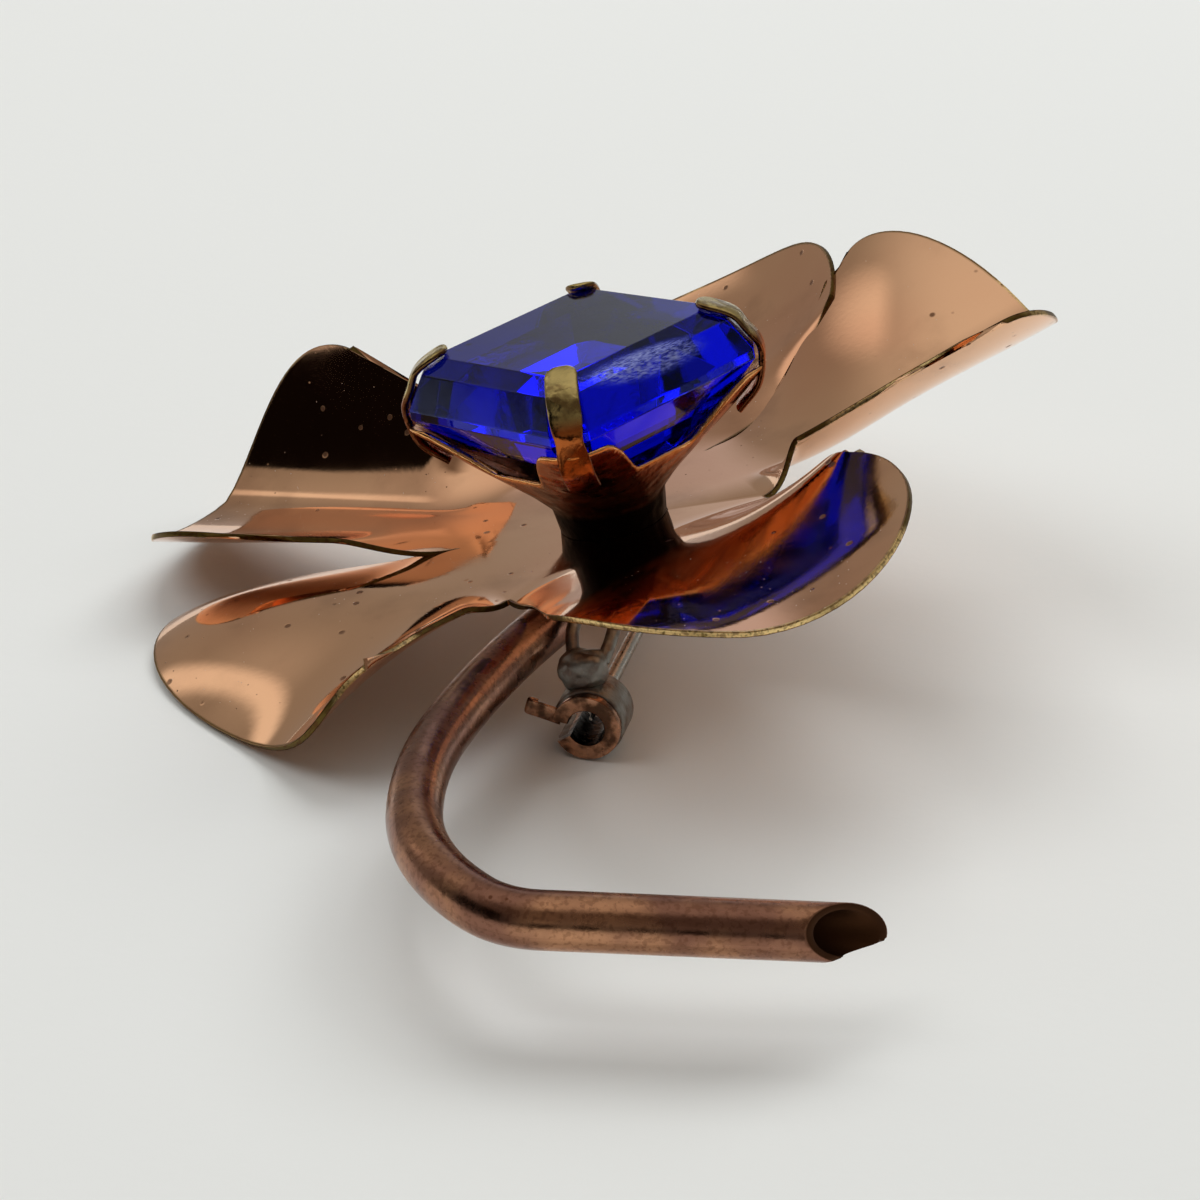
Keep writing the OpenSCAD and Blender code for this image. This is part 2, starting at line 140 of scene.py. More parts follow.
# The catch in the pin's frame: y runs along the pin from the ring's front, z to the sheet.
# Ring, sleeve with its eye for the pin, flange in front, lip behind, slot for the pin
RING_L = 2.2
RING_R = 1.85
SLEEVE_R = 1.3
SLEEVE_GAP = 0.04
EYE_R = 0.95
FLANGE_R = 1.75
FLANGE_T = 0.5
LIP_R = 1.6
LIP_T = 0.3
SLOT_W = 0.9
# The thumb tab: its turn round the pin's line, the distances from that line and the places
# along it of its middle line, its width and thickness
TAB_ANGLE = 153
TAB_REACH = np.array((1.35, 2.0, 2.6, 3.05, 3.2, 3.05, 2.75))
TAB_ALONG = np.array((-0.28, -0.28, -0.3, -0.32, -0.2, -0.09, -0.07))
TAB_W = 0.86
TAB_T = 0.2
# The lump of solder: its sizes, its middle, and how its surface sways
LUMP_SIZE = (2.7, 1.9, 2.2)
LUMP_AT = (0, 1.1, 2.55)
LUMP_SWAY = 0.1
LUMP_WAVES = 1.7
LUMP_SEED = Vector((3, 1, 4))
# Middle lines of the two legs from the sheet to the lump, and the radius of both
LEG_TOP = SHEET_UNDER - 0.2
LEGS = (((0.3, 5.5, LEG_TOP), (-0.1, 4.0, 4.9), (-0.5, 2.4, 4.2), (-0.5, 1.5, 3.1)),
        ((1.5, 5.4, LEG_TOP), (1.6, 4.0, 4.7), (1.5, 2.4, 3.7), (1.0, 1.4, 2.7)))
LEG_R = 0.35
# The round foot on the sheet: its middle, radius and thickness
FOOT_AT = (0.9, 5.8)
FOOT_R = 1.2
FOOT_T = 0.4

FLOOR_HALF = 1500
# The photograph's view: what the lens looks at, its distance, height angle and tip to the side
LOOK_AT = (0.2, -6.2, 8.0)
LOOK_FROM = 144.7
LOOK_DOWN = 26.47
LOOK_ROLL = 2.44
LENS = 87
FILM_W = 36
# The studio's tones near the horizon and overhead
ROOM_LOW = "#8E8A84"
ROOM_HIGH = "#D6D2CC"
# Dark screens and pale strips round the brooch: azimuth to the right of the back and elevation
# of the middle, half width across, half height, softness, all in degrees, and the tone
SCREENS = (
    (-57, 32, 6, 14, 4, "#E6E1DA"),
    (4, 17, 13, 19, 6, "#C6CAD2"),
    (-115, 68, 16, 12, 6, "#DAD5CE"),
    (180, 50, 75, 24, 12, "#6E655D"),
    (180, 8, 45, 9, 4, "#1A130F"),
    (-118, 11, 31, 26, 1.5, "#0C0806"),
)
# Soft lights: azimuth, elevation, size in millimetres at one metre, and watts
LIGHTS = (("back_light", 3, 60, 520, 2.9), ("right_light", 43, 42, 520, 3.0),
          ("left_light", -103, 56, 600, 2.4))


def length_prop(name, description, mm):
    return bpy.props.FloatProperty(
        name=name, description=description, default=mm * MM, min=0, subtype="DISTANCE", unit="LENGTH")


class BroochSizes(bpy.types.PropertyGroup):
    sheet_t: length_prop("Sheet", "Thickness of the petal sheet", 0.3)
    rim_r: length_prop("Rim rounding", "Radius to which the sheet's cut rims are worn", 0.07)
    cup_wall: length_prop("Cup wall", "Wall of the stamped cup", 0.55)
    prong_w: length_prop("Prong width", "Width of each prong", 1.7)
    prong_t: length_prop("Prong thickness", "Thickness of each prong", 0.4)
    facet_wear: length_prop("Facet wear", "Width to which the stone's facet edges are worn", 0.07)
    stem_d: length_prop("Stem", "Outer diameter of the stem's tube", 2.6)
    stem_wall: length_prop("Stem wall", "Wall of the stem's tube", 0.3)


def hex_linear(code, alpha=1.0):
    """Linear colour of an sRGB hex value: the standard curve, channel by channel."""
    srgb = np.array([int(code[i:i + 2], 16) for i in (1, 3, 5)]) / 255
    linear = np.where(srgb <= 0.04045, srgb / 12.92, ((srgb + 0.055) / 1.055) ** 2.4)
    return (*linear.tolist(), alpha)


def colour_prop(name, description, code):
    return bpy.props.FloatVectorProperty(
        name=name, description=description, subtype="COLOR", size=4, min=0, max=1,
        default=hex_linear(code))


class BroochColours(bpy.types.PropertyGroup):
    copper: colour_prop("Copper", "Polished copper plating of the petals", "#F7C49B")
    rosy: colour_prop("Rosy copper", "Rosier stretches of the plating", "#EDB28C")
    tarnish: colour_prop("Tarnish", "Brown film and pits in the plating", "#5A3420")
    rim: colour_prop("Cut rim", "Olive-gold brass that shows on the cut rims", "#6E5A2C")
    rim_worn: colour_prop("Worn rim", "Bright worn stretches of the rims", "#F0D090")
    dust: colour_prop("Dust", "Dust and lint on the plating", "#CFC6C0")
    prong_gold: colour_prop("Prong gold", "Greenish gold of the worn prong tips", "#C7B173")
    cup_copper: colour_prop("Cup copper", "Orange copper of the cup and of the prongs' feet", "#B5632F")
    lip_gold: colour_prop("Lip gold", "Orange-gold of the cup's rubbed rim", "#F0B070")
    # Brown-black colour: painted shade in the hollow under the cup's lobes and inside the catch sleeve's
    # eye, and stains on the sleeve
    stain_and_painted_shade: colour_prop("Soot", "Brown-black oxide in the hollow under the cup's lobes", "#0E0705")
    fitting: colour_prop("Fitting copper", "Rubbed copper of the catch's sleeve", "#C08D6E")
    stem_brown: colour_prop("Stem brown", "Brown tarnish of the stem", "#8E6452")
    stem_bare: colour_prop("Stem bare", "Paler copper on the stem's rubbed side", "#C4906C")
    # Dark brown painted as shade inside the stem's tube and as a dark reflection on its cut end face
    stem_bore_shade: colour_prop("Stem bore", "Dark oxide inside the stem's tube", "#4A2E1C")
    glass: colour_prop("Glass", "Royal blue of the stone", "#0A2CFF")
    glass_depth: colour_prop("Glass depth", "Blue that deepens along the light's path", "#0A1EF0")
    # Pale streak colour: rubbed scuffs with a painted highlight on the stone's front right bevel
    scuff_and_highlight: colour_prop("Scuffs", "Pale rubbed streak on the stone's bevel", "#B9C4DC")
    veil: colour_prop("Veil", "Blue of the reflections on the stone's facets", "#5C74E0")
    foil: colour_prop("Foil", "Foil behind the stone's point", "#D8DCF0")
    solder: colour_prop("Solder", "Dull grey solder", "#8E8B84")
    steel: colour_prop("Steel", "Drawn steel of the pin", "#B4B1AA")
    floor: colour_prop("Floor", "Plain pale floor", "#E8EBEA")


def turn_z(degrees):
    """Rotation matrix about z."""
    c, s = math.cos(math.radians(degrees)), math.sin(math.radians(degrees))
    return np.array([[c, -s, 0], [s, c, 0], [0, 0, 1]])


# Axes of the pin's frame as columns, from the two joints: y along the pin, z to the sheet
PIN_Y = np.array(JOINTS["catch_turn"]["axis"])
PIN_Z = -np.array(JOINTS["pin_swing"]["axis"])
PIN_AXES = np.stack([np.cross(PIN_Y, PIN_Z), PIN_Y, PIN_Z], 1)
PIN_ORIGIN = np.array(JOINTS["catch_turn"]["pos_m"])
FLOWER_AXES = PIN_AXES @ turn_z(90 - PIN_AZ)
FLOWER_ORIGIN = PIN_ORIGIN - FLOWER_AXES @ CATCH_AT * MM


def from_flower(points):
    """Points of the flower's frame in millimetres, as points of the row's frame in metres."""
    return np.asarray(points, float) @ FLOWER_AXES.T * MM + FLOWER_ORIGIN


def from_pin(points):
    """Points of the pin's frame in millimetres, as points of the row's frame in metres."""
    return np.asarray(points, float) @ PIN_AXES.T * MM + PIN_ORIGIN


def unit(v):
    """Vectors of length one along the last axis."""
    return v / np.maximum(np.linalg.norm(v, axis=-1, keepdims=True), 1e-12)


def ramp(d, width):
    """Smooth step: 3u^2 - 2u^3 with u = d / width held between 0 and 1."""
    u = np.clip(d / width, 0, 1)
    return u * u * (3 - 2 * u)


def smooth_line(points, count):
    """Catmull-Rom curve through the points, at count even steps: each span is the cubic whose
    slope at a point is half the chord between that point's two neighbours."""
    p = np.asarray(points, float)
    p = np.vstack([2 * p[0] - p[1], p, 2 * p[-1] - p[-2]])
    u = np.linspace(0, len(p) - 3, count)
    i = np.minimum(u.astype(int), len(p) - 4)
    u = (u - i)[:, None]
    a, b, c, d = p[i], p[i + 1], p[i + 2], p[i + 3]
    return b + 0.5 * u * (c - a + u * (2 * a - 5 * b + 4 * c - d + u * (3 * (b - c) + d - a)))


def grid_quads(rows, columns, wrap=False):
    """Quads between neighbouring points of a grid, whose rows may close on themselves."""
    i = np.arange(rows - 1)[:, None]
    j = np.arange(columns if wrap else columns - 1)[None, :]
    k = (j + 1) % columns
    a = i * columns
    quads = np.stack(np.broadcast_arrays(a + j, a + k, a + columns + k, a + columns + j), -1)
    return quads.reshape(-1, 4)


class Shell:
    """Points and faces of one piece, gathered from several surfaces."""

    def __init__(self):
        self.points = []
        self.faces = []
        self.count = 0

    def add(self, points, faces):
        """Adds points with faces that count from 0 among them."""
        self.points.append(np.asarray(points, float).reshape(-1, 3))
        self.faces += [[int(v) + self.count for v in f] for f in faces]
        self.count += len(self.points[-1])

    def tube(self, rings, cap=True):
        """A surface through closed rings, with its ends closed by a fan about their middles."""
        n, m = rings.shape[:2]
        points = rings.reshape(-1, 3)
        faces = grid_quads(n, m, wrap=True).tolist()
        if cap:
            points = np.vstack([points, rings[0].mean(0), rings[-1].mean(0)])
            k = np.arange(m)
            last = (n - 1) * m
            faces += np.stack([np.full(m, n * m), (k + 1) % m, k], 1).tolist()
            faces += np.stack([np.full(m, n * m + 1), last + k, last + (k + 1) % m], 1).tolist()
        self.add(points, faces)

    def build(self, name, material, body, slot, *nodes, sharp=40, attributes=None):
        """The piece as an object: doubles merged, faces turned outwards, riding on its body."""
        mesh = bpy.data.meshes.new(name)
        mesh.from_pydata(np.vstack(self.points).tolist(), [], self.faces)
        for key, values in (attributes or {}).items():
            layer = mesh.attributes.new(key, "FLOAT", "POINT")
            layer.data.foreach_set("value", np.asarray(values, np.float32))
        work = bmesh.new()
        work.from_mesh(mesh)
        bmesh.ops.remove_doubles(work, verts=work.verts, dist=1e-6)
        bmesh.ops.dissolve_degenerate(work, edges=work.edges, dist=1e-7)
        bmesh.ops.recalc_face_normals(work, faces=work.faces)
        work.to_mesh(mesh)
        work.free()
        mesh.shade_smooth()
        mesh.set_sharp_from_angle(angle=math.radians(sharp))
        piece = bpy.data.objects.new(name, mesh)
        bpy.context.scene.collection.objects.link(piece)
        mesh.materials.append(material)
        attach(piece, body)
        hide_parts(*nodes)
        return piece


def add_node(tree, kind, inputs=None, out=None, **settings):
    """Adds a node with its settings. An input is a value for its socket or an output to link.
    Gives the output of that name, or else the first one in use."""
    node = tree.nodes.new("ShaderNode" + kind)
    for key, value in settings.items():
        setattr(node, key, value)
    for key, value in (inputs or {}).items():
        if isinstance(value, bpy.types.NodeSocket):
            tree.links.new(value, node.inputs[key])
        elif value is not None:
            node.inputs[key].default_value = value
    if out:
        return node.outputs[out]
    return next((socket for socket in node.outputs if socket.enabled), None)


def new_material(name):
    """An empty material, its tree, and the place on the piece in metres."""
    material = bpy.data.materials.new(name)
    material.use_nodes = True
    tree = material.node_tree
    tree.nodes.clear()
    return material, tree, add_node(tree, "TexCoord", out="Object")


def finish(material, tree, inputs, volume=None):
    """Closes a material with its shader, whose inputs are given, and with what fills the piece."""
    surface = add_node(tree, "BsdfPrincipled", inputs)
    add_node(tree, "OutputMaterial", {"Surface": surface, "Volume": volume})
    return material


def blotches(tree, place, size_mm, low, high, detail=3.0, least=0.0, most=1.0):
    """Noise with features of a real size. What lies between two of its levels is carried by a
    smooth step to the stretch from least to most."""
    wave = add_node(tree, "TexNoise", {"Vector": place, "Scale": 1 / (size_mm * MM), "Detail": detail})
    return add_node(tree, "MapRange", {"Value": wave, "From Min": low, "From Max": high,
                                       "To Min": least, "To Max": most},
                    interpolation_type="SMOOTHSTEP")


def specks(tree, place, cell_mm, radius_mm, *patch, **amount):
    """Round specks of a real size, one in each cell of a scattered grid, where the blotches
    that the patch describes let them show."""
    cells = add_node(tree, "TexVoronoi", {"Vector": place, "Scale": 1 / (cell_mm * MM)})
    edge = radius_mm / cell_mm
    dots = add_node(tree, "MapRange", {"Value": cells, "From Min": 0.6 * edge, "From Max": edge,
                                       "To Min": 1.0, "To Max": 0.0})
    patches = blotches(tree, place, *patch, **amount)
    return add_node(tree, "Math", {0: dots, 1: patches}, operation="MULTIPLY")


def layered(tree, kind, base, *layers):
    """A colour (RGBA) or a number (FLOAT) under further ones, each with the factor by which it
    covers what lies below."""
    under, over = {"RGBA": (6, 7), "FLOAT": (2, 3)}[kind]
    for factor, value in layers:
        base = add_node(tree, "Mix", {0: factor, under: base, over: value}, data_type=kind)
    return base


def relief(tree, *layers):
    """Bumps from several heights between 0 and 1, each with its real depth in millimetres."""
    normal = None
    for height, depth_mm in layers:
        normal = add_node(tree, "Bump", {"Height": height, "Strength": 1.0,
                                         "Distance": depth_mm * MM, "Normal": normal})
    return normal


def copper_plating():
    """Copper plating on rolled brass, buffed bright: it mirrors softly, with a faint haze and
    wipe marks, brown pits where it is dull, a thin tarnish film, dust and short scratches, and
    bare brass on the cut rims, olive-gold and here and there worn bright."""
    colours = bpy.context.scene.brooch_colours
    material, tree, place = new_material("buffed_copper_plating")
    large = specks(tree, place, 1.7, 0.22, 6, 0.44, 0.5)
    small = specks(tree, place, 0.8, 0.06, 9, 0.45, 0.6)
    pits = add_node(tree, "Math", {0: large, 1: small}, operation="MAXIMUM")
    brown = add_node(tree, "Math", {0: pits, 1: 0.75}, operation="MULTIPLY")
    dents = add_node(tree, "Math", {0: pits, 1: -1.0}, operation="MULTIPLY")
    dust = specks(tree, place, 0.5, 0.035, 5, 0.5, 0.6, 2, most=0.8)
    rim = add_node(tree, "Attribute", out="Fac", attribute_name="rim")
    worn = add_node(tree, "Math", {0: blotches(tree, place, 7, 0.55, 0.62, 1),
                                   1: blotches(tree, place, 0.3, 0.25, 0.45, 2)},
                    operation="MULTIPLY")
    rim_colour = layered(tree, "RGBA", colours.rim, (worn, colours.rim_worn),
                         (blotches(tree, place, 0.3, 0.5, 0.62, 3, most=0.6), colours.tarnish))
    base = layered(tree, "RGBA", colours.copper,
                   (blotches(tree, place, 14, 0.35, 0.7), colours.rosy),
                   (blotches(tree, place, 5, 0.5, 0.8, 5, most=0.3), colours.tarnish),
                   (brown, colours.tarnish), (rim, rim_colour), (dust, colours.dust))
    rough = layered(tree, "FLOAT", blotches(tree, place, 3, 0.3, 0.8, least=0.05, most=0.1),
                    (pits, 0.45), (rim, layered(tree, "FLOAT", 0.5, (worn, 0.3))), (dust, 0.8))
    normal = relief(tree, (blotches(tree, place, 0.35, 0.3, 0.7, 2), 0.0004),
                    (blotches(tree, place, 6, 0.2, 0.8, 0), 0.01), (dents, 0.01))
    metal = layered(tree, "FLOAT", 1.0, (dust, 0.0))
    return finish(material, tree, {"Base Color": base, "Metallic": metal, "Roughness": rough,
                                   "Normal": normal})


def setting_plating():
    """Copper plating on stamped brass, worn through on the prongs: greenish gold and bright
    where it is rubbed, orange below, brown-black with painted shade in the hollow under the
    lobes, with file marks."""
    colours = bpy.context.scene.brooch_colours
    material, tree, place = new_material("worn_stamped_setting")
    height = add_node(tree, "Attribute", out="Fac", attribute_name="height_mm")
    gold = add_node(tree, "MapRange", {"Value": height, "From Min": 8.6, "From Max": 9.3},
                    interpolation_type="SMOOTHSTEP")
    # Painted shade: the cup darkens towards the sheet, fully below 1.2 mm and fading out by 4.8 mm, and is
    # rougher there
    lobe_shade = add_node(tree, "MapRange", {"Value": height, "From Min": 1.2, "From Max": 4.8,
                                        "To Min": 1.0, "To Max": 0.0})
    side = add_node(tree, "Attribute", out="Fac", attribute_name="side")
    side = add_node(tree, "Math", {0: side, 1: 0.85}, operation="MULTIPLY")
    lip = add_node(tree, "Attribute", out="Fac", attribute_name="lip")
    base = layered(tree, "RGBA", colours.cup_copper, (gold, colours.prong_gold),
                   (blotches(tree, place, 1.2, 0.48, 0.6, 4, most=0.6), colours.tarnish),
                   (lobe_shade, colours.stain_and_painted_shade), (side, colours.tarnish), (lip, colours.lip_gold))
    haze = blotches(tree, place, 0.9, 0.3, 0.7, least=0.14, most=0.32)
    rough = add_node(tree, "Math", {0: lobe_shade, 1: 0.25, 2: haze}, operation="MULTIPLY_ADD")
    normal = relief(tree, (blotches(tree, place, 0.5, 0.3, 0.7, 2), 0.014),
                    (blotches(tree, place, 1.2, 0.2, 0.8, 1), 0.07))
    return finish(material, tree, {"Base Color": base, "Metallic": 1.0, "Roughness": rough,
                                   "Normal": normal})


def blue_glass():
    """Pressed and polished glass, royal blue through and through: the colour deepens with the
    length of the light's path inside, the facets are scuffed and scratched in fine lines, and
    one bevel bears a pale streak, rubbed scuffs with a painted highlight, an ellipsoid round its middle."""
    colours = bpy.context.scene.brooch_colours
    material, tree, place = new_material("pressed_blue_glass")
    lines = add_node(tree, "Mapping", {"Vector": place, "Rotation": (0.3, 0.2, 0.7), "Scale": (1, 9, 1)})
    scuffs = add_node(tree, "Math", {0: blotches(tree, lines, 1.6, 0.5, 0.62, 4),
                                     1: blotches(tree, place, 3, 0.42, 0.6, 2)}, operation="MULTIPLY")
    rough = add_node(tree, "MapRange", {"Value": scuffs, "To Min": 0.02, "To Max": 0.16})
    turned = add_node(tree, "VectorRotate", {"Vector": place, "Center": STREAK_AT * MM,
                                             "Angle": math.radians(-STREAK_TURN)},
                      rotation_type="Z_AXIS")
    offset = add_node(tree, "VectorMath", {0: turned, 1: STREAK_AT * MM}, operation="SUBTRACT")
    offset = add_node(tree, "VectorMath", {0: offset, 1: 1 / (STREAK_SIZE * MM)}, operation="MULTIPLY")
    reach = add_node(tree, "VectorMath", {0: offset}, operation="LENGTH")
    near = add_node(tree, "MapRange", {"Value": reach, "From Min": 0.5, "From Max": 1.0,
                                       "To Min": 1.0, "To Max": 0.0}, interpolation_type="SMOOTHSTEP")
    fine = add_node(tree, "Mapping", {"Vector": turned, "Rotation": (0, 0, 1.0), "Scale": (1, 7, 1)})
    threads = blotches(tree, fine, 0.35, 0.3, 0.7, 4, least=0.2, most=0.75)
    # The streak's mask: rubbed scuffs and a painted highlight, pale and opaque where it covers
    rubbed = add_node(tree, "Math", {0: near, 1: threads}, operation="MULTIPLY")
    depth = add_node(tree, "VolumeAbsorption", {"Color": colours.glass_depth, "Density": 140.0})
    return finish(material, tree, {
        "Base Color": layered(tree, "RGBA", colours.glass, (rubbed, colours.scuff_and_highlight)),
        "Roughness": rough, "Normal": relief(tree, (blotches(tree, place, 3, 0.2, 0.8, 1), 0.004)),
        "Specular Tint": colours.veil, "IOR": 1.54,
        "Transmission Weight": layered(tree, "FLOAT", 1.0, (rubbed, 0.0))}, depth)


def stone_foil():
    """Bright foil burnished onto the stone's point, which throws the light back up through the
    glass."""
    colours = bpy.context.scene.brooch_colours
    material, tree, place = new_material("burnished_foil")
    normal = relief(tree, (blotches(tree, place, 0.8, 0.3, 0.7), 0.01))
    return finish(material, tree, {"Base Color": colours.foil, "Metallic": 1.0, "Roughness": 0.12,
                                   "Normal": normal})


def stem_plating():
    """Copper-plated drawn tube, tarnished brown with a tan bloom, with drawing lines along it,
    dark specks and rubbed stretches; its bore is unplated, and it and the cut's end face are
    painted dark brown as painted shade inside the tube and a painted dark reflection on the cut face."""
    colours = bpy.context.scene.brooch_colours
    material, tree, place = new_material("tarnished_drawn_tube")
    along = add_node(tree, "UVMap", uv_map="along")
    stretched = add_node(tree, "Mapping", {"Vector": along, "Scale": (90, 1100, 1)})
    streaks = add_node(tree, "TexNoise", {"Vector": stretched, "Scale": 1.0, "Detail": 3.0})
    lines = add_node(tree, "MapRange", {"Value": streaks, "From Min": 0.5, "From Max": 0.75, "To Max": 0.4})
    # Painted shade inside the tube and a painted dark reflection on the cut's end face, where the bore mark
    # is
    bore = add_node(tree, "Attribute", out="Fac", attribute_name="bore")
    base = layered(tree, "RGBA", colours.stem_brown,
                   (blotches(tree, place, 5, 0.4, 0.65, 5), colours.stem_bare), (lines, colours.tarnish),
                   (blotches(tree, place, 0.25, 0.5, 0.62, 3, most=0.35), colours.tarnish),
                   (specks(tree, place, 1.1, 0.12, 4, 0.45, 0.6, most=0.8), colours.tarnish),
                   (bore, colours.stem_bore_shade))
    rough = layered(tree, "FLOAT", blotches(tree, place, 1.5, 0.3, 0.7, least=0.2, most=0.34), (bore, 0.6))
    normal = relief(tree, (streaks, 0.003), (blotches(tree, place, 0.3, 0.3, 0.7, 3), 0.003))
    return finish(material, tree, {"Base Color": base, "Metallic": 1.0, "Roughness": rough,
                                   "Normal": normal})


def plain_metal(name, colour, stain, stained, smooth, dull, grain_mm, depth_mm):
    """A dull metal: one colour with stains, painted shade in black in its hollow, a roughness
    between two values, and a grain of a real size and depth."""
    material, tree, place = new_material(name)
    # Painted shade: where the piece marks its hollow, it takes the brown-black shade colour
    hollow = add_node(tree, "Attribute", out="Fac", attribute_name="hollow")
    base = layered(tree, "RGBA", colour, (blotches(tree, place, 0.9, 0.42, 0.62, 4, most=stained), stain),
                   (hollow, bpy.context.scene.brooch_colours.stain_and_painted_shade))
    rough = blotches(tree, place, 0.6, 0.3, 0.7, least=smooth, most=dull)
    normal = relief(tree, (blotches(tree, place, grain_mm, 0.3, 0.7, 3), depth_mm))
    return finish(material, tree, {"Base Color": base, "Metallic": 1.0, "Roughness": rough,
                                   "Normal": normal})


def grey_solder():
    """Soft solder and plated fittings dulled by flux: grey, lumpy, brown in the hollows."""
    colours = bpy.context.scene.brooch_colours
    return plain_metal("dull_solder", colours.solder, colours.tarnish, 0.5, 0.35, 0.55, 0.5, 0.03)


def catch_copper():
    """Copper-plated turned fitting, rubbed bright on its edges and brown elsewhere."""
    colours = bpy.context.scene.brooch_colours
    return plain_metal("rubbed_copper_fitting", colours.fitting, colours.stain_and_painted_shade, 0.8, 0.15, 0.35, 0.4, 0.01)


def drawn_steel():
    """Drawn steel wire: plain grey with a soft shine."""
    colours = bpy.context.scene.brooch_colours
    return plain_metal("drawn_steel_wire", colours.steel, colours.tarnish, 0.15, 0.22, 0.32, 0.3, 0.003)


def turned_flat(points, degrees):
    """Level points, as x and y arrays, turned about the middle."""
    c, s = math.cos(math.radians(degrees)), math.sin(math.radians(degrees))
    x, y = points
    return x * c - y * s, x * s + y * c


def petal_top(row, slit_r, slit_l, s, t):
    """Top of one petal at s from root to tip and t from the clockwise edge -1 to the other 1.
    The flat outline runs from the chord between two slit ends, bowed towards the flower's middle
    as a parabola, to an arc about the tip. Where the lines from root to arc would cross, each ends
    at the share A / (A + 1.2 B) of its length, A being the rate at which it parts from its
    neighbour at the root and B the rate at which it nears it at the arc. Across the axis the
    sheet follows an arc whose angle grows as a power of the distance from the axis. Along the
    axis its slope is a rise reached soon plus a curl that grows as the square of the distance,
    both added up over equal steps, and the whole section twists about the axis."""
    p = dict(zip(PETAL_COLUMNS, row))
    ends = [np.array([e[1] * math.cos(math.radians(e[0])), e[1] * math.sin(math.radians(e[0]))])
            for e in (slit_r, slit_l)]
    k = (t + 1) / 2
    along_chord = unit(ends[1] - ends[0])
    inward = (-along_chord[1], along_chord[0])
    root = [ends[0][i] * (1 - k) + ends[1][i] * k + inward[i] * p["bow"] * (1 - t * t) for i in (0, 1)]
    root_x, root_y = turned_flat(root, -p["az"])
    phi = np.radians(PETAL_SWEEP * t)
    tip_x = p["reach"] - p["tip"] + p["tip"] * np.cos(phi)
    tip_y = p["shift"] + p["half"] * np.sin(phi)
    half_chord = np.linalg.norm(ends[1] - ends[0]) / 2
    step = [along_chord[i] * half_chord - inward[i] * p["bow"] * 2 * t for i in (0, 1)]
    step_x, step_y = turned_flat(step, -p["az"])
    turn = math.radians(PETAL_SWEEP)
    opening = (tip_x - root_x) * step_y - (tip_y - root_y) * step_x
    shutting = turn * ((tip_x - root_x) * p["half"] * np.cos(phi)
                       + (tip_y - root_y) * p["tip"] * np.sin(phi))
    s = s * opening / (opening + LINE_MARGIN * np.maximum(-shutting, 0))
    x = root_x * (1 - s) + tip_x * s
    y = root_y * (1 - s) + tip_y * s
    d = np.maximum(x - root_x, 0)
    span = p["reach"] - CORE_R

    def roll(y):
        left = p["roll_l"] * np.abs(y / p["half"]) ** p["pow_l"]
        right = p["roll_r"] * np.abs(y / p["half"]) ** p["pow_r"]
        return np.radians(ramp(d[..., None], p["roll_in"]) * np.where(y > 0, left, right))

    def rise(d):
        return np.radians(p["rise"] * ramp(d, p["rise_in"]) + p["curl"] * np.minimum(d / span, 2) ** 2)

    rolls = roll(y[..., None] * MIDS)
    roll_y = np.cos(rolls).mean(-1) * y
    roll_z = np.sin(rolls).mean(-1) * np.abs(y)
    twist = np.radians(p["twist"] * ramp(d, span))
    side_x = roll_y * np.cos(twist) - roll_z * np.sin(twist)
    side_y = roll_y * np.sin(twist) + roll_z * np.cos(twist)
    slopes = rise(d[..., None] * MIDS)
    along = root_x + np.cos(slopes).mean(-1) * d
    up = np.sin(slopes).mean(-1) * d
    slope = rise(d)
    level_x, level_y = turned_flat((along - side_y * np.sin(slope), side_x), p["az"])
    return np.stack([level_x, level_y, up + side_y * np.cos(slope)], -1)


